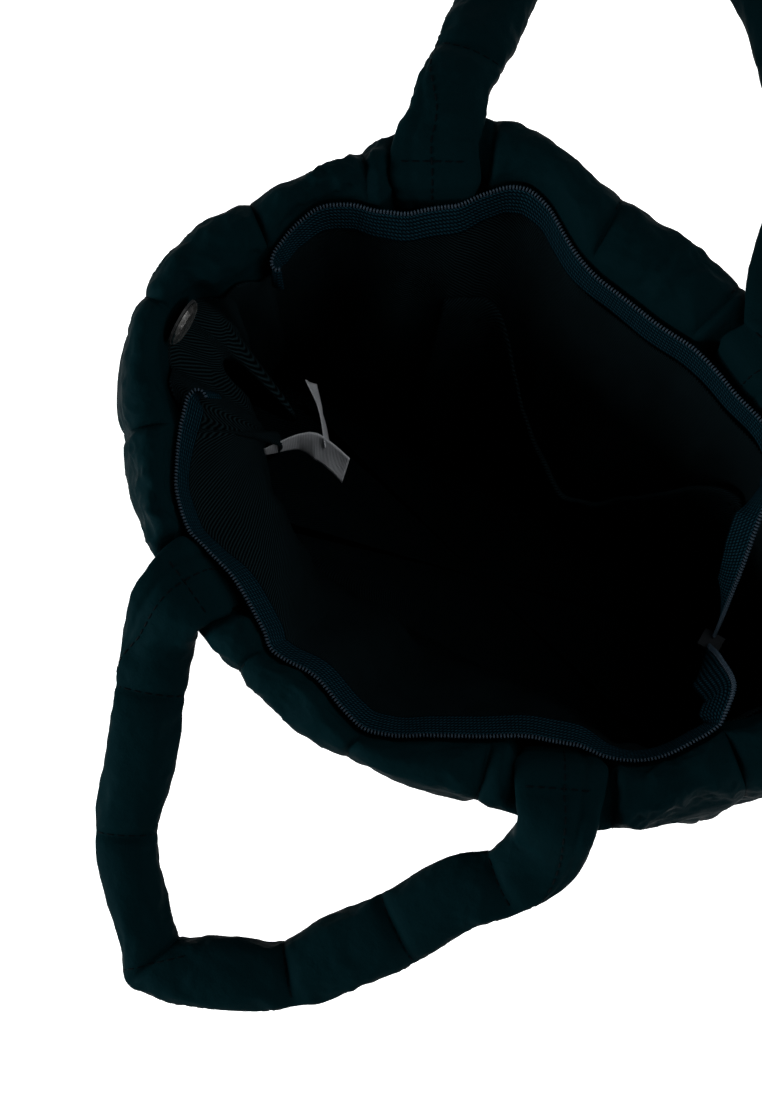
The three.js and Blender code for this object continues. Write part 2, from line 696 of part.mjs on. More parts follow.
// Where the label is sewn to the lining's fold, as the first row of a leaf
function labelSeat() {
  const depth = CLOTH + CLEARANCE + LABEL_THICKNESS / 2;
  const { x, y, z } = liningPoint(LABEL_SEAT.station, liningHeight(LABEL_SEAT.lining_row), depth);
  return { x, y, z: z + LABEL_SEAT.rise, across_x: 0, across_y: 0, across_z: -LABEL_SEAT.drop };
}

// A leaf of the care label: a thin strip through its rows
function labelLeaf(rows) {
  const places = rows.map(({ x, y, z }) => new THREE.Vector3(x, y, z));
  const travel = headings(places);
  const face = (sign) => {
    return rows.map(({ across_x, across_y, across_z }, index) => {
      const across = new THREE.Vector3(across_x, across_y, across_z);
      const normal = new THREE.Vector3().crossVectors(travel[index], across);
      normal.setLength((sign * LABEL_THICKNESS) / 2);
      const edge = places[index].clone().add(normal);
      return [edge, edge.clone().add(across)];
    });
  };
  return sheetSolid(face(1), face(-1));
}

const NYLON = { color: 0x06141a, roughness: 0.55, metalness: 0 };
const TWILL = { color: 0x070c0e, roughness: 0.85, metalness: 0 };
const TAPE = { color: 0x08161d, roughness: 0.8, metalness: 0 };
const COIL = { color: 0x24303a, roughness: 0.4, metalness: 0 };
const SILVER = { color: 0xc9c9c6, roughness: 0.2, metalness: 1 };
const SATIN = { color: 0x9a9c9e, roughness: 0.6, metalness: 0 };

const bag = new THREE.Group();

function addPiece(name, geometry, finish, parent = bag) {
  const piece = new THREE.Mesh(geometry, new THREE.MeshStandardMaterial(finish));
  piece.name = name;
  parent.add(piece);
  return piece;
}

addPiece("front_panel", paddedPanel(0, 6), NYLON);
addPiece("right_gusset", paddedPanel(6, 8), NYLON);
addPiece("back_panel", paddedPanel(8, 14), NYLON);
addPiece("left_gusset", paddedPanel(14, 16), NYLON);
addPiece("base_panel", basePanel(), NYLON);
addPiece("lining", liningCup(), TWILL);
addPiece("slip_pocket", slipPocket(), TWILL);
addPiece("zip_tape_front", zipTape(frontZipRoute()), TAPE);
addPiece("zip_tape_back", zipTape(backZipRoute()), TAPE);
addPiece("zip_coil_front", zipCoil(frontZipRoute()), COIL);
addPiece("zip_coil_back", zipCoil(backZipRoute()), COIL);
addPiece("zip_slider", zipSlider(), SILVER)
  .rotateX(Math.PI / 2)
  .position.set(SLIDER.x, SLIDER.y, SLIDER.top);
addPiece("handle_front", tubeHandle(HANDLE_STATIONS.front, FRONT_HANDLE), NYLON);
addPiece("handle_back", tubeHandle(HANDLE_STATIONS.back, BACK_HANDLE), NYLON);

const snap = new THREE.Group();
const snapSeat = rimAt(SNAP.station).reach + SNAP.seat;
snap.position.copy(offRim(SNAP.station, -snapSeat, SNAP_HEIGHT));
snap.rotateZ(-Math.PI / 2);
bag.add(snap);
addPiece("snap_washer", snapWasher(), COIL, snap).position.y = SNAP.washer / 2;
addPiece("snap_cap", snapDome(), SILVER, snap).position.y = SNAP.washer + CLEARANCE;

addPiece("label_leaf_lower", labelLeaf([labelSeat(), ...LABEL_LOWER]), SATIN);
addPiece("label_leaf_upper", labelLeaf(LABEL_UPPER), SATIN);

export default bag;
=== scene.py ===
"""Dresses a packed pillow tote: quilted padded panels, tube handles, lining, open zip, label and snap.

Lengths are millimetres on the frame's axes until a mesh is made, in metres. A station counts pillows round
the wall, anticlockwise from the front left corner.
"""

import math

import bmesh
import bpy
import numpy as np
from mathutils import Matrix, Vector, noise
from mathutils.bvhtree import BVHTree


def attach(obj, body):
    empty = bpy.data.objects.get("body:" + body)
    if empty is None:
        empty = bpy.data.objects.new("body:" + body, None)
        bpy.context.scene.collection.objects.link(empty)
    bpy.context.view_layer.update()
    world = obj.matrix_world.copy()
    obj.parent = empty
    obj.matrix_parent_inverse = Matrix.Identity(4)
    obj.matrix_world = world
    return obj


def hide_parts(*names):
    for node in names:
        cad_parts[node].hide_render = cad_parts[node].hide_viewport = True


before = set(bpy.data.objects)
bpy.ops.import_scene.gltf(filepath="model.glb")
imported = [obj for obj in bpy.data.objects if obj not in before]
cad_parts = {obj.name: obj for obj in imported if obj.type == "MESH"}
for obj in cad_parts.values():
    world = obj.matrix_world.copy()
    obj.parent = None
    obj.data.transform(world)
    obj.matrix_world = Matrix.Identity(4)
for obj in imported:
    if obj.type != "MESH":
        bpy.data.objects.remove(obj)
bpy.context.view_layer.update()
bpy.ops.object.select_all(action="DESELECT")
scene = bpy.context.scene

MM = 0.001
SEED = 7
RIPPLE_KNOTS = (97, 89)

# Main sizes, close to those of the solids
RIM_HEIGHT = 262
STATIONS_ROUND = 16
PANEL_ENDS = {"front_panel": (0, 6), "right_gusset": (6, 8), "back_panel": (8, 14), "left_gusset": (14, 16)}
PANEL_STARTS = np.array([first for first, last in PANEL_ENDS.values()])
PANEL_SPANS = np.array([last - first for first, last in PANEL_ENDS.values()])
PILLOW = 52
QUILT_ROWS = (8, 58, 108, 158, 208)
SEAM_FOOT = 4
STITCHED_HALF = 1.5
WALL_PUFF = 7
RIM_PUFF = 3.2
INNER_PUFF = 7
SEAM_GAP = 0.0008
CAP_SHOULDER = RIM_HEIGHT - 14
HEM_FOOT = RIM_HEIGHT - 30
NOTCH_DIP = 5
NOTCH_SPREAD = 2.6
NOTCH_KEPT = 0.6
INNER_ARCH = 0.7
HANDLE_SINK = 9
PULL_DEPTH = 90
BACK_SLIDE = 0.05
SWAY = 4
SWAY_HEIGHT = 115
MITRE = 0.12
SINK_EDGE = (0.13, 0.02)

# Gathers beside a stitch line: where they start and die away, the length of both sizes, and their strengths
GATHER_START = 1.8
GATHER_END = 8
GATHER_TOP = 225
FINE_GATHER = 5.5
BROAD_GATHER = 12
BROAD_SHARE = 0.8
PILLOW_SLACK = 0.5

# Rolled rim: heights where a handle holds it, the arc and swell of its gathers, and where the hem is held
UNDER_HANDLE = (215, 240)
CAP_ARC = 12
CAP_SWELL = 16
CAP_HELD = 0.9 * math.pi

# Plan of the stitched wall by height: corner x, corner y, bow of the front, of the back and of the gussets
WALL_SECTIONS = (
    (0, 140, 45, 3, 3, 2),
    (90, 139.3, 46.7, 15, 16, 6),
    (180, 138.6, 48.4, 39, 43, 11),
    (262, 138, 50, 66, 73, 18),
)
# Stretches of the rim that handles and folds draw out, or in where negative: station, reach, pull
RIM_PULLS = (
    (0, 1.1, -5.5), (1.3, 0.8, 2), (2.6, 0.9, 1.2), (4, 0.7, -2.5), (5.1, 1.1, 3.4), (5.65, 0.7, -4),
    (9.8, 1.6, 3.5), (10.65, 0.6, 3), (12.1, 1.6, 25), (13.5, 0.6, 4), (14.3, 0.8, 2),
)

# Zip: coil, tape and the waves of its edge, each a station and how far the coil lies inside the stitched wall
COIL_RADIUS = 1.7
COIL_HEIGHT = RIM_HEIGHT - 12
COIL_CLEARANCE = 0.8
TOOTH_PITCH = 1.35
TOOTH = (2.2, 1.7, 1.0)
TAPE_WIDTH = 14
TAPE_CLOTH = 0.7
TAPE_WAVE = 4
HEM_LIP = 7
ZIP_CURL = ((7.5, 0.5), (5.5, 3), (2.5, 3.6))
FRONT_ZIP = (
    (-0.27, 20), (0.05, 16), (0.3, 12.7), (0.57, 10.3), (0.84, 11.3), (1.1, 15.8), (1.4, 18.8), (1.9, 14),
    (2.05, 11), (2.45, 15.3), (2.85, 10.5), (3, 8.8), (3.2, 10.8), (3.5, 16.5), (3.95, 21), (4.4, 26.7),
    (4.7, 27.7), (5, 23.4), (5.5, 18.2), (5.8, 20.4), (6, 23.8),
)
BACK_ZIP = (
    (8.7, 29), (9, 21.7), (9.5, 26.5), (9.9, 26.9), (10.4, 29.7), (10.8, 29), (11.07, 27), (11.3, 23.4),
    (11.5, 19), (11.65, 18), (11.8, 20.3), (12, 26.6), (12.25, 32.5), (12.6, 30.7), (12.9, 22.7),
    (13.17, 13.8), (13.45, 10.3), (13.7, 12.7), (13.95, 17.8),
)
# How far the tape leans inward as it hangs, in degrees, by station
FRONT_LEAN = ((-0.3, 24), (0.3, 19), (1, 22), (1.5, 28), (2.2, 30), (3, 34), (4.6, 36), (5.2, 17), (6, 16))
BACK_LEAN = ((8.7, 15), (10.5, 14), (11.2, 19), (11.7, 28), (12.6, 28), (13.5, 22), (14, 20))
# Free right ends of the zip: x, y, z and the level direction in which the tape leans
FRONT_TAIL = (
    (118, -28, 249, -0.5, 0.1),
    (116, -17, 243, -0.5, 0),
    (107, -8, 226, -0.4, -0.3),
    (101, -2.3, 203, 0, -0.6),
)
BACK_TAIL = (
    (93, 42, 248, -0.5, -0.2),
    (96, 27, 240, -0.5, 0),
    (99, 11, 224, -0.4, 0.3),
    (101, 2.3, 203, 0, 0.6),
)
# Hem of the gussets: station, reach inside the wall, and how much further its foot comes in
LEFT_HEM = (
    (14, 15.3, 7), (14.3, 20, 3), (14.56, 18, 2), (14.72, 10, 1.5), (15.1, 8, 1.5), (15.4, 9.5, 3),
    (15.7, 12, 4), (16, 14.1, 7),
)
RIGHT_HEM = ((6, 21.3, 7), (6.5, 18, 4), (7, 12, 3), (7.5, 18, 4), (8, 26.5, 7))

# Lining: where it laps over a gusset's hem (station, span), its small wrinkles, its loose fold at the front
# (station, span, height, rise, drop, depth), and the fold that its left corner has sunk into: how far each
# station, counted on both sides of the front left corner, moves in x and y, and the same for the hollow below
CLOTH = 1.2
LINING_THICKNESS = 0.8
LINING_COLUMNS = ((0, 14.4, 200), (14.4, 15.4, 60), (15.4, STATIONS_ROUND, 12))
LINING_ROWS = 60
LINING_BUNCH = 1.15
FLOOR_RINGS = 9
MIDDLE_HOLE = 0.04
LAP_FADE = 4
LAP_TUCK = 1.8
DRAPE_BROAD = 3.2
DRAPE_FINE = 1.4
DRAPE_BELOW_HEM = (4, 40)
DRAPE_ABOVE_FLOOR = 20
CLEARANCE = 0.35
TONGUE_ROOM = 8
LINING_INSET = 13
LINING_FLOOR = 14
LINING_LAP = 13
LINING_LAPS = ((14.4, 0.36), (15.6, 0.32), (7, 0.9))
LINING_FRONT_FOLD = (3.0, 1.8, 150, 75, 90, 7)
LEFT_FOLD_LEVEL = 203
LEFT_FOLD_RISE = 38
LEFT_FOLD_DROP = 130
LEFT_FOLD = (
    (-1.5, 0, 0), (-1.25, 20, -2), (-1.14, 29, -3), (-1, 31, 0), (-0.88, 33, 0), (-0.67, 37, 2),
    (-0.33, 36, 10), (0, 31, 18), (0.5, 18, 28), (0.9, 14, 23), (1.3, 9, 16), (1.8, 5, 8), (2.4, 1, 2),
    (2.8, 0, 0),
)
LEFT_HOLLOW = ((-1.32, 0, 0), (-1.14, 25, -8), (-1.05, -5, 0), (-0.97, -20, 0), (-0.84, 0, 0))
HOLLOW_TOP = 220
HOLLOW_FOOT = 205

# Slip pocket: its stations, heights, and the sag of its mouth
POCKET_FIRST = 8.8
POCKET_LAST = 12.2
POCKET_FOOT = 70
POCKET_MOUTH = 200
POCKET_DIP = 40
POCKET_SAG = 30
POCKET_SAG_STATION = 10.3
POCKET_FLARE = 1.6
POCKET_HEM = 9
POCKET_COLUMNS = 90
POCKET_ROWS = 40

# Handles: the stations of their two ends, how far each root is shifted along the rim, and the rows, counted
# from each end, where the tube is sewn down
FRONT_ENDS = (1.28, 4.6)
BACK_ENDS = (12.42, 9.5)
FRONT_SHIFTS = (-2.5, 2)
BACK_SHIFTS = (-1, 0)
FRONT_CRESTS = (2.9, 2.9)
BACK_CRESTS = (2.45, 2.9)
HANDLE_HALF_SPAN = 0.45
END_WIDTH = 37
ROOT_SHARE = 0.52
TONGUE_FOOT = RIM_HEIGHT - 21
HANDLE_BEND = math.radians(47)
# Rows of a handle's end, from the tongue's foot to the root outside the rim: width lost, and thickness
END_LOSSES = (7, 5, 0.5, 3, 6.5)
END_THICKNESSES = (5.6, 5.6, 6.2, 8.5, 11)
END_LIFT = 5.6
ROOT_OUT = 3
ROOT_DROP = 0.5
ROOT_TURN = 1.5
# The tube's section, in rows from its ends: where it is level, square, flat, sewn and loose
LEVEL_HOLD = 1.6
LEVEL_FADE = 3
SQUARE_ROWS = (2.5, 4.5)
SQUARE_END = 0.62
SQUARE_GAIN = 0.26
FLAT_ROWS = 3.2
FLAT_WRINKLE = 0.25
SEWN_ROWS = 4.4
LOOSE_ROWS = (2, 3.5)
LOOSE_REACH = 6
# Pinch of the tube at a cross seam and where it is sewn to the rim: reach, share of thickness, share of width
PINCH_REACH = 3
SEAM_PINCH = (0.4, 0.055)
CREST_PINCH = (0.25, 0.0)
# Free stretches: x, y, z, width, thickness, and 1 at a cross seam or 2 at a folded corner
FRONT_HANDLE = (
    (-86, -114, 244, 29, 15, 0),
    (-80, -131, 237, 28.5, 18, 1),
    (-71, -155.5, 227, 29, 21, 0),
    (-62, -182.5, 216, 25.5, 20, 1),
    (-51, -198, 210, 26, 21, 0),
    (-37, -212.5, 206, 25, 20, 0),
    (-28, -221.7, 204, 26, 18, 2),
    (-16.7, -218.7, 204, 27, 20, 0),
    (0.4, -210.7, 205, 29, 22, 0),
    (21.7, -199, 206, 28, 21, 1),
    (36, -181, 212, 32, 22, 0),
    (50, -162, 218, 31, 21, 1),
    (65, -138, 227, 30.5, 22, 0),
    (76.5, -127, 233, 29, 19, 1),
    (84, -111, 242, 31, 15, 0),
)
BACK_HANDLE = (
    (-94.5, 131, 255, 30, 14, 0),
    (-97, 147, 249, 30, 18, 1),
    (-99.5, 165, 239, 32, 21, 0),
    (-102, 187, 231, 31.5, 21, 1),
    (-100, 216, 226, 30, 22, 0),
    (-85, 239, 224, 28, 20, 1),
    (-62, 247, 226, 28, 22, 0),
    (-36, 245, 230, 28, 21, 1),
    (-12, 235, 235, 28, 22, 0),
    (13, 212, 242, 26, 21, 1),
    (32, 189, 247, 27, 22, 0),
    (44, 162, 251, 27, 18, 1),
)
# Slant of a folded corner, and the tube's closing seam
FOLD_REACH = 24
FOLD_POINT = 0.9
CLOSING_TOP = 0.25
CLOSING_TURN = 60
CLOSING_WIDTH = 1.6
CLOSING_DEPTH = 1.1

# Label leaves: x, y, z of the upper edge, and the way across to the lower one
LABEL_CLOTH = 0.5
LABEL_CURL = 0.5
LABEL_SEAT = (0.5, 200.3, 5, -13)
LABEL_LOWER = (
    (-84, -11, 207, 2, -3, -13.5),
    (-78.5, -7, 207, 4.5, -8, -11),
    (-71, -7, 206, 4, -8.5, -11),
    (-61.5, -8.5, 203, 1.2, -8.5, -11.5),
)
LABEL_UPPER = (
    (-72, -9.9, 205, 1, 2.2, -13),
    (-82, 2, 210, 1, 1, -16),
    (-92, 9, 213, 3, 3, -15),
)

# Padded base: inset of the flat underside, reach and radius of the rolled edge, insets and heights of the top
BASE_COLUMNS = 12
BASE_UNDERSIDE = 12
BASE_ROLL = 13
BASE_ROUND = 2.5
BASE_WALL = 3
BASE_CROWN = ((8, 10), (16, 12))

# Density of the cloth meshes, drawn together towards the stitch lines by the crease pull
PILLOW_COLUMNS = 24
CREASE_PULL = 0.55
PILLOW_ROWS = 18
TOP_ROWS = 14
CAP_ROWS = 20
HEM_ROWS = 6
INNER_ROWS = 10
HANDLE_SIDES = 52
HANDLE_STEP = 2.2
ZIP_COLUMNS = 26
TAPE_ROWS = 9
LABEL_LINES = 12

# Fine creases: depths, the rim's greater slack, and the size and strength of their three grains
PANEL_CREASE = 3
RIM_SLACK = 1.6
HANDLE_CREASE = 1.7
PATCH_GRAIN = 0.022
BROAD_GRAIN = 0.075
FINE_GRAIN = 0.19
PATCH_LEVEL = 0.6
PATCH_SWING = 0.8
CREASE_LEVEL = 0.25
FINE_SHARE = 0.45

# Swelling of the padding: length and force of the simulation, the most it moves a piece, and its cloth
SWELL_FRAMES = 18
SWELL_PRESSURE = 0.5
SWELL_GROWTH = 0.012
PANEL_SWELL = 2.0
HANDLE_SWELL = 1.5
PADDED_CLOTH = {
    "quality": 6,
    "mass": 0.15,
    "air_damping": 2,
    "tension_stiffness": 10,
    "compression_stiffness": 10,
    "shear_stiffness": 4,
    "bending_stiffness": 0.4,
    "tension_damping": 8,
    "compression_damping": 8,
    "shear_damping": 8,
    "use_pressure": True,
    "uniform_pressure_force": SWELL_PRESSURE,
    "shrink_min": -SWELL_GROWTH,
}


# Surface formulas, worked on arrays of stations and heights


def smooth_table(rows):
    """Returns a function of the first column that reads the other columns along smooth curves."""
    table = np.array(rows, float)
    keys, values = table[:, 0], table[:, 1:]
    steps = np.diff(keys)[:, None]
    slopes = np.diff(values, axis=0) / steps
    before, after = slopes[:-1], slopes[1:]
    level = np.where(before * after > 0, before + after, 1)
    bends = np.where(before * after > 0, 2 * before * after / level, 0)
    tangents = np.vstack([slopes[:1], bends, slopes[-1:]])

    def read(at):
        at = np.clip(np.atleast_1d(np.asarray(at, float)), keys[0], keys[-1])
        low = np.clip(np.searchsorted(keys, at, side="right") - 1, 0, len(keys) - 2)
        step = steps[low]
        share = ((at - keys[low])[:, None]) / step
        left = 1 - share
        start = (1 + 2 * share) * left**2 * values[low] + share * left**2 * step * tangents[low]
        end = share**2 * (1 + 2 * left) * values[low + 1] - share**2 * left * step * tangents[low + 1]
        return start + end

    return read


SECTION = smooth_table(WALL_SECTIONS)
FRONT_INSET = smooth_table(FRONT_ZIP)
BACK_INSET = smooth_table(BACK_ZIP)
LEFT_REACH = smooth_table(LEFT_HEM)
RIGHT_REACH = smooth_table(RIGHT_HEM)
FRONT_LEAN_AT = smooth_table(FRONT_LEAN)
BACK_LEAN_AT = smooth_table(BACK_LEAN)
LEFT_FOLD_AT = smooth_table(LEFT_FOLD)
LEFT_HOLLOW_AT = smooth_table(LEFT_HOLLOW)
RANDOM_KNOTS = np.random.default_rng(SEED).uniform(-1, 1, RIPPLE_KNOTS)


def spread(*values):
    """Numbers and arrays as arrays of one shape."""
    return np.broadcast_arrays(*(np.asarray(value, float) for value in values))


def ripple(along, across):
    """Smooth random values between -1 and 1 over a plane, with a knot at every unit."""
    along, across = spread(along, across)
    row, column = np.floor(along).astype(int), np.floor(across).astype(int)
    down, right = along - row, across - column
    down, right = down**2 * (3 - 2 * down), right**2 * (3 - 2 * right)

    def knot(by_row, by_column):
        return RANDOM_KNOTS[(row + by_row) % RIPPLE_KNOTS[0], (column + by_column) % RIPPLE_KNOTS[1]]

    near = knot(0, 0) * (1 - right) + knot(0, 1) * right
    far = knot(1, 0) * (1 - right) + knot(1, 1) * right
    return near * (1 - down) + far * down


def smoothstep(value, low, high):
    share = np.clip((value - low) / (high - low), 0, 1)
    return share**2 * (3 - 2 * share)


def bump(distance):
    """One at the middle of a bump and nothing past its ends."""
    return np.where(np.abs(distance) < 1, np.cos(np.clip(distance, -1, 1) * np.pi / 2) ** 2, 0)


def turn_from(middle, station):
    """Stations from one place to another the shorter way round."""
    return (station - middle + STATIONS_ROUND / 2) % STATIONS_ROUND - STATIONS_ROUND / 2


def fullness(share):
    return np.sqrt(np.clip(np.sin(np.pi * share), 0, 1))


def full_across(station):
    return fullness(station % 1)


def eased(share):
    """Evenly spaced shares of pillows, drawn together towards their stitch lines."""
    whole = np.floor(share)
    part = share - whole
    return whole + part * (1 - CREASE_PULL) + CREASE_PULL * (1 - np.cos(np.pi * part)) / 2


def off_crease(station):
    """Nothing on the narrow crease that a stitch line makes across the rim, and one away from it."""
    return 1 - np.exp(-np.abs(station - np.round(station)) * PILLOW / NOTCH_SPREAD)


def full_up(height):
    lines = np.array(QUILT_ROWS, float)
    row = np.clip(np.searchsorted(lines, height, side="right") - 1, 0, len(lines) - 1)
    top = row == len(lines) - 1
    rise = np.where(top, 2 * (HEM_FOOT - lines[-1]), np.append(np.diff(lines), 1)[row])
    share = np.clip((height - lines[row]) / rise, 0, np.where(top, 0.5, 1))
    return np.where(height < lines[0], 0, fullness(share))


def wall(station, height):
    """The stitched wall's places and outward directions, mitred at the corner seams."""
    station, height = spread(station, height)
    around = station % STATIONS_ROUND
    corner_x, corner_y, front_bow, back_bow, gusset_bow = SECTION(height).T
    side = np.searchsorted(PANEL_STARTS[1:], around, side="right")
    first, span = PANEL_STARTS[side], PANEL_SPANS[side]
    share = (around - first) / span
    share = share + BACK_SLIDE * (side == 2) * np.sin(np.pi * share) * height / RIM_HEIGHT
    broad = side % 2 == 0
    half = np.where(broad, corner_x, corner_y)
    away = np.where(broad, corner_y, corner_x)
    bow = np.choose(side, (front_bow, gusset_bow, back_bow, gusset_bow))
    radius = (half**2 + bow**2) / (2 * bow)
    sweep = np.arcsin(half / radius)
    angle = (2 * share - 1) * sweep
    along = radius * np.sin(angle)
    out = away + bow - radius * (1 - np.cos(angle))
    turn = side * np.pi / 2
    place_x = along * np.cos(turn) + out * np.sin(turn)
    place_y = along * np.sin(turn) - out * np.cos(turn)
    place = np.stack([place_x, place_y], -1)

    other_half = np.where(broad, corner_y, corner_x)
    other_bow = np.choose(side, (gusset_bow, front_bow, gusset_bow, back_bow))
    other_sweep = np.arcsin(other_half / ((other_half**2 + other_bow**2) / (2 * other_bow)))
    corner_angle = np.sign(share - 0.5) * (np.pi / 2 - other_sweep + sweep) / 2
    nearness = 1 - smoothstep(np.minimum(around - first, first + span - around), 0, MITRE)
    heading = angle + turn + nearness * (corner_angle - np.sign(share - 0.5) * sweep)
    outward = np.stack([np.sin(heading), -np.cos(heading)], -1)

    pull = sum(row[2] * bump(turn_from(row[0], around) / row[1]) for row in RIM_PULLS)
    rise = smoothstep(height, RIM_HEIGHT - PULL_DEPTH, RIM_HEIGHT)
    sway = SWAY * ripple(around * 0.8 + 5, height / 60 + 2) * bump((height - SWAY_HEIGHT) / SWAY_HEIGHT)
    return place + outward * (pull * rise + sway)[..., None], outward


def off_wall(station, out, height):
    station, out, height = spread(station, out, height)
    place, outward = wall(station, height)
    return np.concatenate([place + outward * out[..., None], height[..., None]], -1)


def off_rim(station, out, height):
    """A point off the wall, square to it at the rim, for all that is sewn along the rim."""
    station, out, height = spread(station, out, height)
    place, outward = wall(station, COIL_HEIGHT)
    return np.concatenate([place + outward * out[..., None], height[..., None]], -1)


def under_handle(station):
    """One where a handle crosses the rim, falling to nothing beside it."""
    nearest = np.min([np.abs(turn_from(middle, station)) for middle in FRONT_ENDS + BACK_ENDS], axis=0)
    return 1 - smoothstep(nearest, HANDLE_HALF_SPAN - SINK_EDGE[0], HANDLE_HALF_SPAN + SINK_EDGE[1])


def outer_face(station, height):
    rise = np.clip((height - HEM_FOOT) / (CAP_SHOULDER - HEM_FOOT), 0, 1)
    puff = WALL_PUFF + (RIM_PUFF - WALL_PUFF) * rise
    rolled = smoothstep(height, QUILT_ROWS[-1], CAP_SHOULDER)
    notched = NOTCH_KEPT + (1 - NOTCH_KEPT) * off_crease(station)
    across = full_across(station) * (1 - rolled) + notched * rolled
    return STITCHED_HALF + puff * across * full_up(height)


def inner_face(station, height):
    return -STITCHED_HALF - INNER_PUFF * full_across(station) * full_up(height)


def rim_at(station):
    """The rim's outer edge, the reach of its hem, the lip at the hem's foot and the height of its top."""
    around = np.atleast_1d(np.asarray(station, float)) % STATIONS_ROUND
    shoulder = np.full_like(around, CAP_SHOULDER)
    foot = np.full_like(around, HEM_FOOT)
    handle = under_handle(around)
    outer = outer_face(around, shoulder)
    top = RIM_HEIGHT - NOTCH_DIP * (1 - off_crease(around)) - HANDLE_SINK * handle
    side = np.searchsorted(PANEL_STARTS[1:], around, side="right")
    inset = np.where(side < 2, FRONT_INSET(around)[:, 0], BACK_INSET(around)[:, 0])
    reach = inset - COIL_RADIUS - COIL_CLEARANCE - TONGUE_ROOM * handle
    left, right = LEFT_REACH(around), RIGHT_REACH(around)
    on_right, on_left = side == 1, side == 3
    reach = np.where(on_left, left[:, 0], np.where(on_right, right[:, 0], reach))
    lip = np.where(on_left, left[:, 1], np.where(on_right, right[:, 1], HEM_LIP))
    place, outward = wall(around, COIL_HEIGHT)
    slope = np.sum((place - wall(around, foot)[0]) * outward, -1)
    lip = np.maximum(lip, slope - inner_face(around, foot) + STITCHED_HALF - reach)
    return {"outer": outer, "reach": reach, "lip": lip, "top": top, "handle": handle}


# Mesh helpers


def unit(vectors):
    return vectors / np.maximum(np.linalg.norm(vectors, axis=-1, keepdims=True), 1e-9)


def lengths_along(route):
    return np.append(0, np.cumsum(np.linalg.norm(np.diff(route, axis=0), axis=1)))


def read_along(at, lengths, values):
    """Values at lengths along a route."""
    return np.stack([np.interp(at, lengths, column) for column in values.T], -1)


def cloth_lengths(points, ring, loop):
    """Cloth coordinates of a grid in metres: along its middle row, and down its middle column."""
    if loop:
        points = np.concatenate([points, points[:, :1]], 1)
    if ring:
        points = np.concatenate([points, points[:1]], 0)
    across = lengths_along(points[len(points) // 2])
    down = lengths_along(points[:, points.shape[1] // 2])
    return np.stack(np.meshgrid(across, down), -1) * MM


def new_piece(name, points, faces, finish):
    """A smooth mesh of points in millimetres, in one finish."""
    mesh = bpy.data.meshes.new(name)
    mesh.from_pydata((points.reshape(-1, 3) * MM).tolist(), [], faces)
    mesh.polygons.foreach_set("use_smooth", np.ones(len(mesh.polygons), bool))
    mesh.materials.append(finish)
    piece = bpy.data.objects.new(name, mesh)
    scene.collection.objects.link(piece)
    return piece


def grid_piece(name, points, finish, ring=False, loop=False):
    """A mesh of quads over a grid of points; ring closes the columns on themselves and loop the rows."""
    rows, columns = points.shape[:2]
    index = np.arange(rows * columns).reshape(rows, columns)
    lengths = cloth_lengths(points, ring, loop)
    if loop:
        index = np.hstack([index, index[:, :1]])
    if ring:
        index = np.vstack([index, index[:1]])

    def corners(grid):
        return np.stack([grid[:-1, :-1], grid[:-1, 1:], grid[1:, 1:], grid[1:, :-1]], 2)

    piece = new_piece(name, points, corners(index).reshape(-1, 4).tolist(), finish)
    layer = piece.data.uv_layers.new(name="cloth")
    layer.data.foreach_set("uv", corners(lengths).reshape(-1))
    return piece


def apply_modifier(piece, kind, **settings):
    made = piece.modifiers.new(kind.lower(), kind)
    for key, value in settings.items():
        setattr(made, key, value)
    with bpy.context.temp_override(object=piece, active_object=piece, selected_objects=[piece]):
        bpy.ops.object.modifier_apply(modifier=made.name)


def thicken(piece, thickness):
    apply_modifier(piece, "SOLIDIFY", thickness=thickness * MM, offset=0.0)


def face_outward(piece, close_ends=False):
    shape = bmesh.new()
    shape.from_mesh(piece.data)
    if close_ends:
        edges = [edge for edge in shape.edges if edge.is_boundary]
        bmesh.ops.holes_fill(shape, edges=edges, sides=0)
    bmesh.ops.recalc_face_normals(shape, faces=shape.faces)
    shape.to_mesh(piece.data)
    shape.free()


def plump(piece, held, limit):
    """Lets the padding swell a shell between the points that the stitching holds."""
    group = piece.vertex_groups.new(name="stitched")
    for weight in np.unique(held):
        group.add(np.flatnonzero(held == weight).tolist(), float(weight), "REPLACE")
    start = np.array([vertex.co for vertex in piece.data.vertices])
    padding = piece.modifiers.new("padding", "CLOTH")
    for setting, value in PADDED_CLOTH.items():
        setattr(padding.settings, setting, value)
    padding.settings.vertex_group_mass = group.name
    padding.settings.effector_weights.gravity = 0
    padding.collision_settings.use_collision = False
    padding.point_cache.frame_start = 1
    padding.point_cache.frame_end = SWELL_FRAMES
    for step in range(1, SWELL_FRAMES + 1):
        scene.frame_set(step)
    swollen = piece.evaluated_get(bpy.context.evaluated_depsgraph_get())
    end = np.array([vertex.co for vertex in swollen.data.vertices])
    piece.modifiers.remove(padding)
    piece.vertex_groups.remove(group)
    scene.frame_set(1)
    move = end - start
    length = np.linalg.norm(move, axis=1, keepdims=True)
    most = limit * MM
    move = move * np.where(length > 0, most * np.tanh(length / most) / np.maximum(length, 1e-9), 0)
    piece.data.vertices.foreach_set("co", (start + move).reshape(-1))
    piece.data.update()


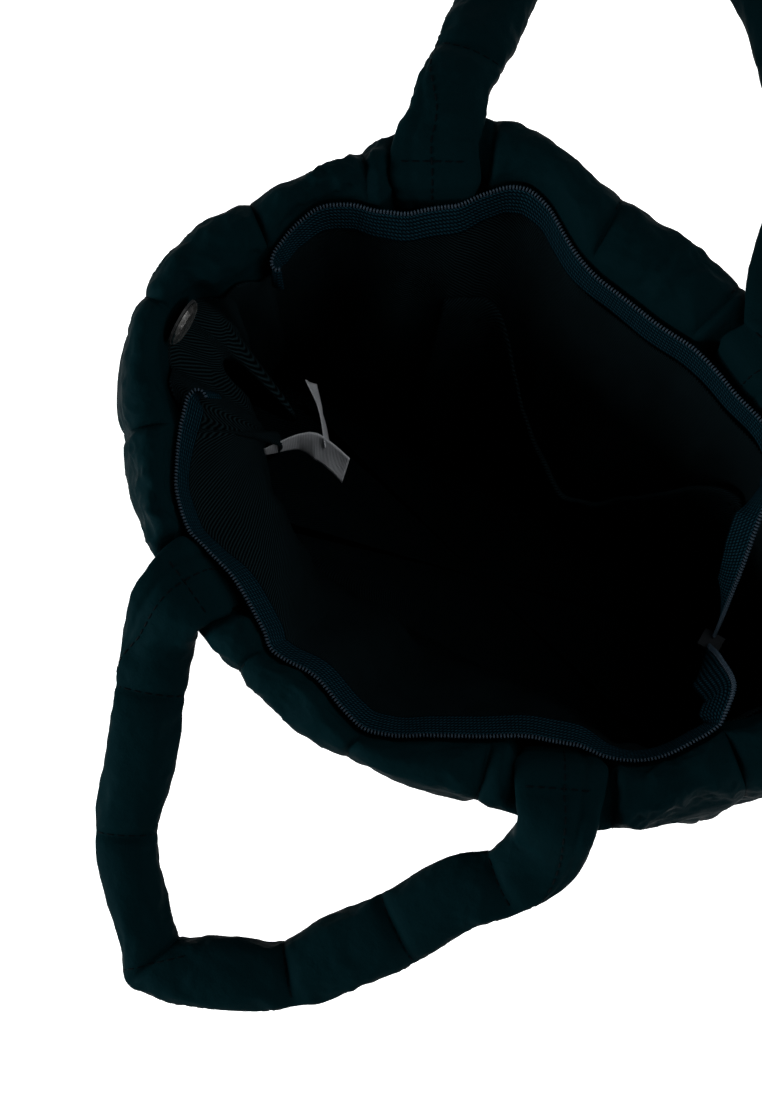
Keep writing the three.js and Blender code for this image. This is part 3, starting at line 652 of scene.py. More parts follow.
def crumple(piece, slack, depth):
    """Subdivides a padded shell and raises fine sharp creases on it, less where its cloth has no slack."""
    mesh = piece.data
    mesh.attributes.new("slack", "FLOAT", "POINT").data.foreach_set("value", slack)
    apply_modifier(piece, "SUBSURF", levels=1, render_levels=1)
    count = len(mesh.vertices)
    loose, places, normals = np.empty(count), np.empty(count * 3), np.empty(count * 3)
    mesh.attributes["slack"].data.foreach_get("value", loose)
    mesh.vertices.foreach_get("co", places)
    mesh.vertex_normals.foreach_get("vector", normals)
    places, normals = places.reshape(-1, 3), normals.reshape(-1, 3)
    heights = np.empty(count)
    for index, place in enumerate(places / MM):
        place = Vector(place)
        patch = PATCH_LEVEL + PATCH_SWING * noise.noise(place * PATCH_GRAIN)
        broad = CREASE_LEVEL - abs(noise.noise(place * BROAD_GRAIN))
        fine = CREASE_LEVEL - abs(noise.noise(place * FINE_GRAIN))
        heights[index] = (broad + FINE_SHARE * fine) * patch
    places += normals * (heights * loose * depth * MM)[:, None]
    mesh.vertices.foreach_set("co", places.reshape(-1))
    mesh.attributes.remove(mesh.attributes["slack"])
    mesh.update()


def spline(points, step):
    """A smooth route through points: places about a step apart, and the share of the way in point numbers."""
    points = np.array(points, float)
    padded = np.vstack([2 * points[0] - points[1], points, 2 * points[-1] - points[-2]])
    places, shares = [], []
    for span in range(len(points) - 1):
        before, start, end, after = padded[span : span + 4]
        steps = np.linalg.norm(np.diff(padded[span : span + 4], axis=0), axis=1)
        lead, gap, tail = np.maximum(steps**0.5, 1e-6)
        leave = ((start - before) / lead - (end - before) / (lead + gap) + (end - start) / gap) * gap
        arrive = ((end - start) / gap - (after - start) / (gap + tail) + (after - end) / tail) * gap
        count = max(1, round(np.linalg.norm(end - start) / step))
        for at in range(count + (span == len(points) - 2)):
            share = at / count
            left = 1 - share
            near = (1 + 2 * share) * left**2 * start + share * left**2 * leave
            far = share**2 * (1 + 2 * left) * end - share**2 * left * arrive
            places.append(near + far)
            shares.append(span + share)
    return np.array(places), np.array(shares)


class Beads:
    """Many copies of a small rounded bead, gathered into one piece."""

    SIDES = 6
    RINGS = ((-0.5, 0.35), (-0.34, 0.85), (0.34, 0.85), (0.5, 0.35))

    def __init__(self):
        self.points, self.faces = [], []

    def add(self, place, along, up, length, width, height):
        across = np.cross(along, up)
        first = len(self.points)
        for shift, swell in self.RINGS:
            for side in range(self.SIDES):
                angle = 2 * math.pi * side / self.SIDES
                wide = across * (width / 2 * swell * math.cos(angle))
                high = up * (height / 2 * swell * math.sin(angle))
                self.points.append(place + along * (length * shift) + wide + high)
        for ring in range(len(self.RINGS) - 1):
            for side in range(self.SIDES):
                turn = (side + 1) % self.SIDES
                low, high = first + ring * self.SIDES, first + (ring + 1) * self.SIDES
                self.faces.append((low + side, low + turn, high + turn, high + side))
        last = first + (len(self.RINGS) - 1) * self.SIDES
        self.faces.append(tuple(first + side for side in range(self.SIDES))[::-1])
        self.faces.append(tuple(last + side for side in range(self.SIDES)))

    def piece(self, name, finish):
        piece = new_piece(name, np.array(self.points), self.faces, finish)
        face_outward(piece)
        return piece


# Finishes


class Wire:
    """A socket of a finish; arithmetic on it adds Math nodes."""

    def __init__(self, finish, socket):
        self.finish = finish
        self.socket = socket

    def maths(self, operation, first, second):
        return self.finish.node("ShaderNodeMath", {"operation": operation}, {0: first, 1: second})

    def __add__(self, other):
        return self.maths("ADD", self, other)

    __radd__ = __add__

    def __sub__(self, other):
        return self.maths("SUBTRACT", self, other)

    def __rsub__(self, other):
        return self.maths("SUBTRACT", other, self)

    def __mul__(self, other):
        return self.maths("MULTIPLY", self, other)

    __rmul__ = __mul__

    def __pow__(self, other):
        return self.maths("POWER", self, other)


class Finish:
    """A material made of nodes round one shader."""

    def __init__(self, name):
        self.material = bpy.data.materials.new(name)
        self.material.use_nodes = True
        self.tree = self.material.node_tree
        self.shader = self.tree.nodes["Principled BSDF"]

    def feed(self, socket, value):
        if isinstance(value, Wire):
            self.tree.links.new(value.socket, socket)
        else:
            socket.default_value = value

    def node(self, kind, settings=None, sockets=None, output=0):
        """Adds a node with its settings, feeds its sockets and gives one of its outputs."""
        made = self.tree.nodes.new(kind)
        for key, value in (settings or {}).items():
            setattr(made, key, value)
        for key, value in (sockets or {}).items():
            self.feed(made.inputs[key], value)
        return Wire(self, made.outputs[output])

    def surface(self, sockets):
        for key, value in sockets.items():
            self.feed(self.shader.inputs[key], value)
        return self.material

    def place(self):
        return self.node("ShaderNodeTexCoord", output="Object")

    def cloth(self):
        return self.node("ShaderNodeUVMap", {"uv_map": "cloth"})

    def noise(self, where, scale, detail=2.0, roughness=0.5):
        sockets = {"Vector": where, "Scale": scale, "Detail": detail, "Roughness": roughness}
        return self.node("ShaderNodeTexNoise", sockets=sockets)

    def ribs(self, where, pitch, way):
        """Parallel ribs at a pitch in metres, one after the other along a way."""
        along = self.node("ShaderNodeMapping", sockets={"Vector": where, "Scale": way})
        sockets = {"Vector": along, "Scale": math.pi / (5 * pitch), "Distortion": 0.0}
        return self.node("ShaderNodeTexWave", {"bands_direction": "DIAGONAL"}, sockets, output="Fac")

    def between(self, share, low, high):
        settings = {"data_type": "RGBA", "clamp_factor": True}
        return self.node("ShaderNodeMix", settings, {0: share, 6: (*low, 1), 7: (*high, 1)}, output=2)

    def relief(self, height, depth, strength=1.0):
        sockets = {"Height": height, "Distance": depth, "Strength": strength}
        return self.node("ShaderNodeBump", sockets=sockets)


def nylon_finish():
    """Smooth dark taffeta: a faint crinkle, a fine grain, and a soft sheen."""
    nylon = Finish("shell_nylon")
    place = nylon.place()
    broad = nylon.noise(place, 22, 3)
    crinkle = nylon.noise(place, 170, 4, 0.6)
    grain = nylon.noise(place, 1500, 1)
    shade = broad * 0.6 + grain * 0.4
    return nylon.surface(
        {
            "Base Color": nylon.between(shade, (0.0003, 0.0031, 0.004), (0.0008, 0.0065, 0.008)),
            "Roughness": 0.42 + broad * 0.12 + grain * 0.12,
            "Normal": nylon.relief(crinkle + grain * 0.2, 0.0012, 0.5),
            "IOR": 1.03,
            "Specular Tint": (0.3, 0.6, 1, 1),
        }
    )


def twill_finish():
    """Dark lining twill with fine diagonal ribs."""
    twill = Finish("lining_twill")
    cloth = twill.cloth()
    ribs = twill.ribs(cloth, 0.00095, (0.67, 0.74, 0))
    threads = twill.ribs(cloth, 0.0005, (0.82, -0.57, 0))
    worn = twill.noise(cloth, 60, 3)
    shade = ribs**1.6 * (0.55 + 0.6 * worn) * (0.7 + 0.3 * threads)
    return twill.surface(
        {
            "Base Color": twill.between(shade, (0.0001, 0.0002, 0.0003), (0.0052, 0.0125, 0.015)),
            "Roughness": 0.85 - 0.1 * ribs,
            "Normal": twill.relief(ribs + 0.3 * threads, 0.0003, 0.7),
            "IOR": 1.05,
        }
    )


def tape_finish():
    """Woven zip tape: ribs across, crossed by fine warp lines."""
    tape = Finish("zip_tape")
    cloth = tape.cloth()
    ribs = tape.ribs(cloth, 0.0012, (0.82, -0.57, 0))
    warp = tape.ribs(cloth, 0.0021, (0, 1, 0))
    worn = tape.noise(cloth, 300, 2)
    shade = ribs * warp * (0.5 + worn)
    return tape.surface(
        {
            "Base Color": tape.between(shade, (0.0001, 0.0013, 0.002), (0.004, 0.021, 0.031)),
            "Roughness": 0.75 - 0.1 * ribs,
            "Normal": tape.relief(ribs + warp, 0.0003, 0.6),
            "IOR": 1.06,
            "Specular Tint": (0.4, 0.7, 1, 1),
        }
    )


def plain_finish(name, low, high, roughness, relief=0.0001, grain=900, metallic=0.0, specular=0.4):
    """A small piece's finish: two close tones in a fine grain."""
    plain = Finish(name)
    place = plain.place()
    speck = plain.noise(place, grain, 3)
    return plain.surface(
        {
            "Base Color": plain.between(speck, low, high),
            "Roughness": roughness - 0.08 + 0.16 * speck,
            "Normal": plain.relief(speck, relief, 0.4),
            "Metallic": metallic,
            "Specular IOR Level": specular,
        }
    )


def satin_finish():
    """Pale woven label satin, ribbed across, with no words on it."""
    satin = Finish("label_satin")
    cloth = satin.cloth()
    ribs = satin.ribs(cloth, 0.0007, (1, 0, 0))
    worn = satin.noise(cloth, 120, 3)
    return satin.surface(
        {
            "Base Color": satin.between(ribs * 0.4 + worn * 0.6, (0.1, 0.11, 0.12), (0.34, 0.35, 0.37)),
            "Roughness": 0.42 + 0.15 * worn,
            "Normal": satin.relief(ribs, 0.0002, 0.5),
            "Specular IOR Level": 0.4,
        }
    )


NYLON = nylon_finish()
TWILL = twill_finish()
TAPE = tape_finish()
SATIN = satin_finish()
COIL = plain_finish("zip_coil", (0.006, 0.013, 0.021), (0.024, 0.04, 0.056), 0.5, specular=0.1)
THREAD = plain_finish("stitch_thread", (0.0001, 0.0007, 0.001), (0.0004, 0.002, 0.003), 0.7, specular=0.02)
SILVER = plain_finish("snap_metal", (0.82, 0.82, 0.8), (0.93, 0.93, 0.92), 0.26, 0.00002, 500, 1.0)
STEEL = plain_finish(
    "slider_metal", (0.002, 0.003, 0.004), (0.005, 0.007, 0.009), 0.5, 0.00003, 500, specular=0.04
)
WASHER = plain_finish("snap_washer", (0.01, 0.011, 0.012), (0.03, 0.032, 0.034), 0.5)


def dress(piece, slot, *nodes):
    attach(piece, "root")
    if nodes:
        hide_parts(*nodes)
    return piece


# Padded panels


def seam_ripple(distance, along, line):
    """Small gathers that run off a stitch line and die away from it."""
    fade = (1 - np.exp(-np.abs(distance) / GATHER_START)) * np.exp(-np.abs(distance) / GATHER_END)
    fine = ripple(along / FINE_GATHER, line * 7.3 + 0.5)
    broad = ripple(along / BROAD_GATHER + 31, line * 5.1 + 0.5)
    return fade * (fine + BROAD_SHARE * broad)


def gathers(station, height):
    """Wrinkles of a pillow: gathers along its stitch lines, and a slack crumple in the middle."""
    column = np.round(station)
    lines = np.array(QUILT_ROWS, float)
    row = np.argmin(np.abs(height[..., None] - lines), -1)
    beside = seam_ripple((station - column) * PILLOW, height, column)
    above = seam_ripple(height - lines[row], station * PILLOW, row + 40)
    slack = ripple(station * 2.1 + height / 60, height / 24 + 9) * full_across(station)
    return beside + above * (height < GATHER_TOP) + PILLOW_SLACK * slack * full_up(height)


def panel_rows(columns):
    """Rows of a panel's shell: from its bottom seam up, over the rim, and down the hem and the inside."""
    lines = [SEAM_FOOT]
    for low, high in zip(QUILT_ROWS[:-1], QUILT_ROWS[1:]):
        lines.extend(low + (high - low) * eased(np.arange(PILLOW_ROWS) / PILLOW_ROWS))
    lines.extend(np.linspace(QUILT_ROWS[-1], CAP_SHOULDER, TOP_ROWS, endpoint=False))
    stitched = np.abs(columns - np.round(columns)) < 1e-6
    stitched[[0, -1]] = True
    rim = rim_at(columns)
    covered = rim["handle"]

    rows, held, slack = [], [], []
    for line in lines:
        height = np.full_like(columns, line)
        loose = np.where(stitched, 0, 1) * (line not in QUILT_ROWS) * (line > SEAM_FOOT)
        soft = loose * (1 - covered * smoothstep(height, *UNDER_HANDLE))
        out = outer_face(columns, height) + gathers(columns, height) * soft
        rows.append(off_wall(columns, out, height))
        held.append(np.where(soft < 0.5, 1.0, 0.0))
        slack.append(soft * off_crease(columns))

    middle = (rim["outer"] - rim["reach"]) / 2
    half = (rim["outer"] + rim["reach"]) / 2
    for angle in np.linspace(0, math.pi, CAP_ROWS):
        loose = np.where(stitched, 0, 1) * (1 - covered)
        arc = np.full_like(columns, CAP_SHOULDER + angle * CAP_ARC)
        swell = 1 + gathers(columns, arc) * loose * math.sin(angle) ** 0.5 / CAP_SWELL
        out = middle + half * math.cos(angle)
        arch = math.sin(angle) if angle < math.pi / 2 else abs(math.sin(angle)) ** INNER_ARCH
        height = CAP_SHOULDER + (rim["top"] - CAP_SHOULDER) * arch * swell
        rows.append(off_rim(columns, out, height))
        held.append(np.where((loose < 0.5) | (angle > CAP_HELD), 1.0, 0.0))
        slack.append(RIM_SLACK * loose * off_crease(columns) * (angle < CAP_HELD))

    for share in np.linspace(0, 1, HEM_ROWS + 1)[1:]:
        height = np.full_like(columns, CAP_SHOULDER + (HEM_FOOT - CAP_SHOULDER) * share)
        rows.append(off_rim(columns, -rim["reach"] - rim["lip"] * share, height))
    for line in np.append(np.linspace(HEM_FOOT - CLEARANCE, QUILT_ROWS[0], INNER_ROWS), SEAM_FOOT):
        height = np.full_like(columns, line)
        rows.append(off_wall(columns, inner_face(columns, height), height))
    inside = np.zeros((len(rows) - len(held), len(columns)))
    return np.array(rows), np.vstack([held, inside + 1]), np.vstack([slack, inside])


def padded_panel(name, first, last):
    columns = first + eased(np.arange((last - first) * PILLOW_COLUMNS + 1) / PILLOW_COLUMNS)
    columns[0] += SEAM_GAP
    columns[-1] -= SEAM_GAP
    points, held, slack = panel_rows(columns)
    piece = grid_piece(f"{name}_quilt", points, NYLON, ring=True)
    face_outward(piece)
    plump(piece, held.reshape(-1), PANEL_SWELL)
    crumple(piece, slack.reshape(-1), PANEL_CREASE)
    face_outward(piece, close_ends=True)
    dress(piece, "shell_nylon", name)
    return piece


PANELS = {name: padded_panel(name, *ends) for name, ends in PANEL_ENDS.items()}


def base_pad():
    """Padded base: a flat underside, a rolled edge under the wall's seam and a crowned top."""
    columns = np.linspace(0, STATIONS_ROUND, STATIONS_ROUND * BASE_COLUMNS, endpoint=False)
    place, outward = wall(columns, SEAM_FOOT)

    def ring(inset, height, share=1):
        level = (place - outward * inset) * share
        return np.concatenate([level, np.full((len(columns), 1), float(height))], 1)

    edge = STITCHED_HALF + 3 * CLEARANCE
    rings = [ring(BASE_UNDERSIDE, 0, share) for share in np.linspace(MIDDLE_HOLE, 1, 10)[:-1]]
    for turn in np.linspace(0, math.pi / 2, 5):
        inset = BASE_UNDERSIDE - BASE_ROLL * math.sin(turn)
        rings.append(ring(inset, BASE_ROUND - BASE_ROUND * math.cos(turn)))
    for inset, height in ((edge, SEAM_FOOT), (edge, SEAM_FOOT + BASE_WALL), *BASE_CROWN):
        rings.append(ring(inset, height))
    rings.extend(ring(*BASE_CROWN[-1], share) for share in np.linspace(1, MIDDLE_HOLE, 6)[1:])
    piece = grid_piece("base_panel_pad", np.array(rings), NYLON, loop=True)
    face_outward(piece, close_ends=True)
    return dress(piece, "shell_nylon", "base_panel")


base_pad()


# Handles


def handle_end(station):
    """Rows of a handle's flat end: up between hem and zip and over the sunk rim, with level directions."""
    rim = {key: float(value[0]) for key, value in rim_at(station).items()}
    outward = wall(np.array([station]), np.array([COIL_HEIGHT]))[1][0]
    middle, half = (rim["outer"] - rim["reach"]) / 2, (rim["outer"] + rim["reach"]) / 2
    inside = rim["reach"] + TONGUE_ROOM / 2 - CLEARANCE
    slope = CLEARANCE + rim["lip"] * (CAP_SHOULDER - TONGUE_FOOT) / (CAP_SHOULDER - HEM_FOOT)
    crest = rim["top"] + END_LIFT
    spots = (
        (-inside - slope, TONGUE_FOOT),
        (-inside, CAP_SHOULDER + 1),
        (
            middle - (half + END_LIFT) * math.cos(HANDLE_BEND),
            CAP_SHOULDER + (crest - CAP_SHOULDER) * math.sin(HANDLE_BEND),
        ),
        (middle, crest),
        (rim["outer"] + ROOT_OUT, crest - ROOT_DROP),
    )
    made = []
    for (out, height), loss, thickness in zip(spots, END_LOSSES, END_THICKNESSES):
        point = off_rim([station], [out], [height])[0]
        made.append((*point, END_WIDTH - loss, thickness, 0, -outward[1], outward[0]))
    return made


def turned_root(crest, root, free, shift):
    """The root of a handle, moved and turned towards the way that its free stretch leaves."""
    crest, root, free = np.array(crest), np.array(root), np.array(free)
    way = unit(free[:2] - crest[:2])
    sideways = np.array((-way[1], way[0]))
    sideways = sideways if sideways @ root[6:] > 0 else -sideways
    root[:2] = crest[:2] + (free[:2] - crest[:2]) * ROOT_SHARE + root[6:] * shift
    root[6:] = unit(root[6:] + ROOT_TURN * sideways)
    return tuple(root)


def handle_rows(ends, free, shifts):
    first, last = handle_end(ends[0]), handle_end(ends[1])
    first[-1] = turned_root(first[-2], first[-1], free[0], shifts[0])
    last[-1] = turned_root(last[-2], last[-1], free[-1], shifts[1])
    last = [(*row[:6], -row[6], -row[7]) for row in last[::-1]]
    return [*first, *((*row, 0, 0) for row in free), *last]


def handle_route(rows):
    """The route of a handle, smooth but for its folded corners, with each ring's slant near a fold."""
    corners = [0, *np.flatnonzero(rows[:, 5] == 2), len(rows) - 1]
    places, shares, tangents = [], [], []
    for first, last in zip(corners[:-1], corners[1:]):
        part, share = spline(rows[first : last + 1, :3], HANDLE_STEP)
        skip = 1 if first > 0 else 0
        places.append(part[skip:])
        shares.append(share[skip:] + first)
        tangents.append(unit(np.gradient(part, axis=0))[skip:])
    places, shares, tangents = np.vstack(places), np.concatenate(shares), np.vstack(tangents)
    lengths = lengths_along(places)
    slant = np.zeros(len(places))
    for corner in corners[1:-1]:
        at = int(np.argmin(np.abs(shares - corner)))
        arrive, leave = tangents[at - 1], tangents[at + 1]
        turn = math.atan2(arrive[0] * leave[1] - arrive[1] * leave[0], float(arrive[:2] @ leave[:2]))
        from_corner = lengths - lengths[at]
        near = np.clip(1 - np.abs(from_corner) / FOLD_REACH, 0, 1)
        slant += FOLD_POINT * math.tan(turn / 2) * near * np.where(from_corner <= 0, -1, 1)
        tangents[at] = arrive
    return places, shares, tangents, lengths, slant


def closing_angle(lengths, crests, outer):
    """Where round the tube its closing seam runs: on top at the ends, on the loop's outer side between."""
    from_crest = np.minimum(lengths - crests[0], crests[1] - lengths)
    share = CLOSING_TOP + (1 - CLOSING_TOP) * smoothstep(from_crest, 0, CLOSING_TURN)
    return math.pi / 2 * (1 + outer * share)


def tube_handle(name, ends, free, shifts, sewn_at, outer):
    rows = np.array(handle_rows(ends, free, shifts))
    places, shares, tangents, lengths, slant = handle_route(rows)
    index = np.arange(len(rows))
    sizes = smooth_table(np.column_stack([index, rows[:, 3:5]]))(shares)
    level = np.column_stack([-tangents[:, 1], tangents[:, 0], np.zeros(len(places))])
    at_end = read_along(shares, index, rows[:, 6:8])
    last = len(rows) - 1
    from_end = np.minimum(shares, last - shares)
    near_end = np.clip(LEVEL_HOLD - from_end / LEVEL_FADE, 0, 1)[:, None]
    level[:, :2] = unit(level[:, :2]) * (1 - near_end) + unit(at_end) * near_end
    level = unit(level)
    upright = unit(np.cross(tangents, level))

    seams = np.interp(index[rows[:, 5] > 0], shares, lengths)
    crests = np.interp([sewn_at[0], last - sewn_at[1]], shares, lengths)
    lines = np.sort(np.concatenate([seams, crests]))
    from_line = lengths[:, None] - lines
    nearest = np.argmin(np.abs(from_line), 1)
    distance = from_line[np.arange(len(lengths)), nearest]
    crest = np.isin(lines[nearest], crests)
    pinch = np.exp(-np.abs(distance) / PINCH_REACH)
    thin = 1 - pinch * np.where(crest, CREST_PINCH[0], SEAM_PINCH[0])
    narrow = 1 - pinch * np.where(crest, CREST_PINCH[1], SEAM_PINCH[1])

    angle = np.linspace(0, 2 * math.pi, HANDLE_SIDES, endpoint=False)
    square = (SQUARE_END + SQUARE_GAIN * smoothstep(from_end, *SQUARE_ROWS))[:, None]
    wide = np.sign(np.cos(angle)) * np.abs(np.cos(angle)) ** square
    high = np.sign(np.sin(angle)) * np.abs(np.sin(angle)) ** square
    flat = from_end < FLAT_ROWS
    gather = seam_ripple(distance[:, None], angle[None] * 14, nearest[:, None] + 60)
    slack = ripple(lengths[:, None] / 24, angle[None] * 1.9 + 3) * 0.5
    closing = closing_angle(lengths, crests, outer)
    groove = np.exp(-((((angle - closing[:, None]) * sizes[:, :1] / 2) / CLOSING_WIDTH) ** 2))
    wrinkle = (gather + slack) * np.where(flat, FLAT_WRINKLE, 1)[:, None] - CLOSING_DEPTH * groove
    across = (sizes[:, 0] * narrow / 2)[:, None] * wide + wrinkle * np.cos(angle)
    up = (sizes[:, 1] * thin / 2)[:, None] * high + wrinkle * np.sin(angle)
    points = places[:, None] + level[:, None] * across[..., None] + upright[:, None] * up[..., None]
    points = points + tangents[:, None] * (across * slant[:, None])[..., None]
    sewn = from_end < SEWN_ROWS
    held = np.repeat(((np.abs(distance) < HANDLE_STEP / 2) | sewn).astype(float)[:, None], HANDLE_SIDES, 1)
    held[[0, -1]] = 1

    piece = grid_piece(f"{name}_tube", points, NYLON, loop=True)
    face_outward(piece)
    plump(piece, held.reshape(-1), HANDLE_SWELL)
    loose = np.clip(np.abs(distance) / LOOSE_REACH, 0, 1) * smoothstep(from_end, *LOOSE_ROWS)
    crumple(piece, np.repeat(loose, HANDLE_SIDES), HANDLE_CREASE)
    face_outward(piece, close_ends=True)
    dress(piece, "shell_nylon", name)
    route = {"places": places, "level": level, "upright": upright, "lengths": lengths, "lines": lines}
    return piece, {**route, "closing": closing}


HANDLES = (
    tube_handle("handle_front", FRONT_ENDS, FRONT_HANDLE, FRONT_SHIFTS, FRONT_CRESTS, 1),
    tube_handle("handle_back", BACK_ENDS, BACK_HANDLE, BACK_SHIFTS, BACK_CRESTS, -1),
)


# Lining and slip pocket


def lining_top(station):
    """Height of the lining's upper edge: the hem's foot, but higher where it laps over a gusset's hem."""
    lap = sum(bump(turn_from(middle, station) / span) for middle, span in LINING_LAPS)
    return HEM_FOOT - 2 * CLEARANCE + LINING_LAP * lap


def lining_point(station, height, depth):
    """A place on the lining, a depth inside its outer side, with its loose folds and small wrinkles."""
    station, height = spread(station, height)
    rim = rim_at(station)
    top = lining_top(station)
    foot = np.full_like(station, HEM_FOOT)
    lapped = smoothstep(top, HEM_FOOT, HEM_FOOT + LAP_FADE)
    reach = rim["reach"] + TONGUE_ROOM * rim["handle"] + rim["lip"] - CLOTH * (1 - LAP_TUCK * lapped)
    rise = np.maximum(height - HEM_FOOT, 0) * rim["lip"] / (CAP_SHOULDER - HEM_FOOT)
    over_hem = off_rim(station, rise - reach - depth, height)

    place, outward = wall(station, foot)
    sewn = np.sum((place - off_rim(station, -reach, foot)[:, :2]) * outward, -1)
    inset = sewn + (LINING_INSET - sewn) * (1 - smoothstep(height, LINING_FLOOR, HEM_FOOT))
    middle, span, level, up, down, deep = LINING_FRONT_FOLD
    above = height - level
    folded = bump(turn_from(middle, station) / span) * bump(above / np.where(above > 0, up, down))
    broad = DRAPE_BROAD * ripple(station * 2.3 + height / 130, height / 75 + 20)
    fine = DRAPE_FINE * ripple(station * 6 + 11, height / 40)
    below_hem = smoothstep(HEM_FOOT - height, *DRAPE_BELOW_HEM)
    above_floor = smoothstep(height, LINING_FLOOR, LINING_FLOOR + DRAPE_ABOVE_FLOOR)
    inset = inset + deep * folded + (broad + fine) * below_hem * above_floor
    hung = off_wall(station, -inset - depth, height)

    above = height - LEFT_FOLD_LEVEL
    sunk = bump(above / np.where(above > 0, LEFT_FOLD_RISE, LEFT_FOLD_DROP)) * smoothstep(top - height, 0, 10)
    hollow = 1 - smoothstep(height, HOLLOW_FOOT, HOLLOW_TOP)
    beside = turn_from(0, station)
    moved = (LEFT_FOLD_AT(beside) + LEFT_HOLLOW_AT(beside) * hollow[:, None]) * sunk[:, None]
    moved = np.column_stack([moved, np.zeros(len(moved))])
    return np.where((height > HEM_FOOT)[:, None], over_hem, hung) + moved


def lining_cup():
    columns = np.concatenate([np.linspace(*stretch, endpoint=False) for stretch in LINING_COLUMNS])
    top = lining_top(columns)
    shares = np.linspace(0, 1, LINING_ROWS) ** LINING_BUNCH
    rings = [lining_point(columns, top + (LINING_FLOOR - top) * share, CLOTH / 2) for share in shares]
    for share in np.linspace(1, MIDDLE_HOLE, FLOOR_RINGS)[1:]:
        rings.append(rings[len(shares) - 1] * (share, share, 1))
    piece = grid_piece("lining_cloth", np.array(rings), TWILL, loop=True)
    face_outward(piece)
    shape = bmesh.new()
    shape.from_mesh(piece.data)
    lowest = [edge for edge in shape.edges if edge.is_boundary and edge.verts[0].co.z < 2 * LINING_FLOOR * MM]
    bmesh.ops.holes_fill(shape, edges=lowest, sides=0)
    shape.to_mesh(piece.data)
    shape.free()
    thicken(piece, LINING_THICKNESS)
    dress(piece, "lining_twill", "lining")
    return piece


def pocket_point(station, share, depth):
    beside = station - POCKET_SAG_STATION
    half = np.where(beside < 0, POCKET_SAG_STATION - POCKET_FIRST, POCKET_LAST - POCKET_SAG_STATION)
    slack = bump(beside / half)
    height = POCKET_FOOT + (POCKET_MOUTH - POCKET_DIP * slack - POCKET_FOOT) * share
    stand = CLOTH + 3 * CLEARANCE + POCKET_SAG * slack * share**POCKET_FLARE
    return lining_point(station, height, stand + depth)


def slip_pocket():
    columns = np.linspace(POCKET_FIRST, POCKET_LAST, POCKET_COLUMNS)
    shares = np.linspace(0, 1, POCKET_ROWS)
    hem = 1 - POCKET_HEM / (POCKET_MOUTH - POCKET_FOOT)
    rows = []
    for share in shares:
        thick = 0.5 * smoothstep(np.full_like(columns, share), hem - 0.01, hem + 0.02)
        rows.append(pocket_point(columns, np.full_like(columns, share), CLOTH / 2 + thick))
    rows.append(pocket_point(columns, np.full_like(columns, 1.0), CLOTH / 2 - 0.6) + (0, 0, 0.5))
    for share in (0.985, 0.96, hem):
        rows.append(pocket_point(columns, np.full_like(columns, share), CLOTH / 2 - 0.9))
    piece = grid_piece("slip_pocket_cloth", np.array(rows), TWILL)
    thicken(piece, LINING_THICKNESS)
    dress(piece, "lining_twill", "slip_pocket")
    return piece


lining_cup()
slip_pocket()


# Zip


def zip_route(table, inset_at, lean_at, tail, backward):
    """The coil's dense route along its hem and down its free tail, with the way its tape hangs."""
    first, last = table[0][0], table[-1][0]
    columns = np.linspace(first, last, round((last - first) * ZIP_COLUMNS))
    hem = off_rim(columns, -inset_at(columns)[:, 0], COIL_HEIGHT)
    outward = wall(columns, COIL_HEIGHT)[1]
    degrees = lean_at(columns)[:, 0] + TAPE_WAVE * ripple(columns * 2.6, 0.5)
    lean = -outward * np.sin(np.radians(degrees))[:, None]
    if backward:
        hem, lean = hem[::-1], lean[::-1]
    start = unit(hem[1] - hem[0])
    inward = np.append(unit(lean[0]), 0)
    curl = np.array([hem[0] + inward * reach - start * back for reach, back in ZIP_CURL])
    hem = np.vstack([spline(np.vstack([curl, hem[:2]]), 1.2)[0][:-1], hem[1:]])
    lean = np.vstack([np.repeat(lean[:1], len(hem) - len(lean), 0), lean])
    knots = np.vstack([hem[-1:], np.array(tail)[:, :3]])
    free, shares = spline(knots, 2)
    leans = np.vstack([lean[-1:], np.array(tail)[:, 3:]])
    free_lean = read_along(shares, np.arange(len(leans)), leans)
    places = np.vstack([hem, free[1:]])
    leans = np.vstack([lean, free_lean[1:]])
    travel = unit(np.gradient(places, axis=0))
    drop = np.sqrt(np.clip(1 - np.sum(leans**2, -1), 0, 1))
    down = np.column_stack([leans, -drop])
    down = unit(down - travel * np.sum(down * travel, -1, keepdims=True))
    return places, travel, down


def zip_tape(name, route):
    places, _, down = route
    reaches = np.linspace(0.4 * COIL_RADIUS, COIL_RADIUS + TAPE_WIDTH, TAPE_ROWS)
    rows = [places + down * reach for reach in reaches]
    piece = grid_piece(f"{name}_weave", np.array(rows), TAPE)
    thicken(piece, TAPE_CLOTH)
    dress(piece, "zip_tape", name)
    return piece


def zip_coil(name, route):
    """Coil teeth at an even pitch along the tape's upper edge."""
    places, travel, down = route
    teeth = Beads()
    lengths = lengths_along(places)
    at = np.arange(TOOTH_PITCH / 2, lengths[-1], TOOTH_PITCH)
    spots, travel, hang = (read_along(at, lengths, values) for values in (places, travel, down))
    for place, along, low in zip(spots, unit(travel), hang):
        low = unit(low - along * float(low @ along))
        teeth.add(place, -low, along, *TOOTH)
    piece = teeth.piece(f"{name}_teeth", COIL)
    return dress(piece, "zip_coil", name)


FRONT_COIL = zip_route(FRONT_ZIP, FRONT_INSET, FRONT_LEAN_AT, FRONT_TAIL, False)
BACK_COIL = zip_route(BACK_ZIP, BACK_INSET, BACK_LEAN_AT, BACK_TAIL, True)
zip_tape("zip_tape_front", FRONT_COIL)
zip_tape("zip_tape_back", BACK_COIL)
zip_coil("zip_coil_front", FRONT_COIL)
zip_coil("zip_coil_back", BACK_COIL)


# Label leaves


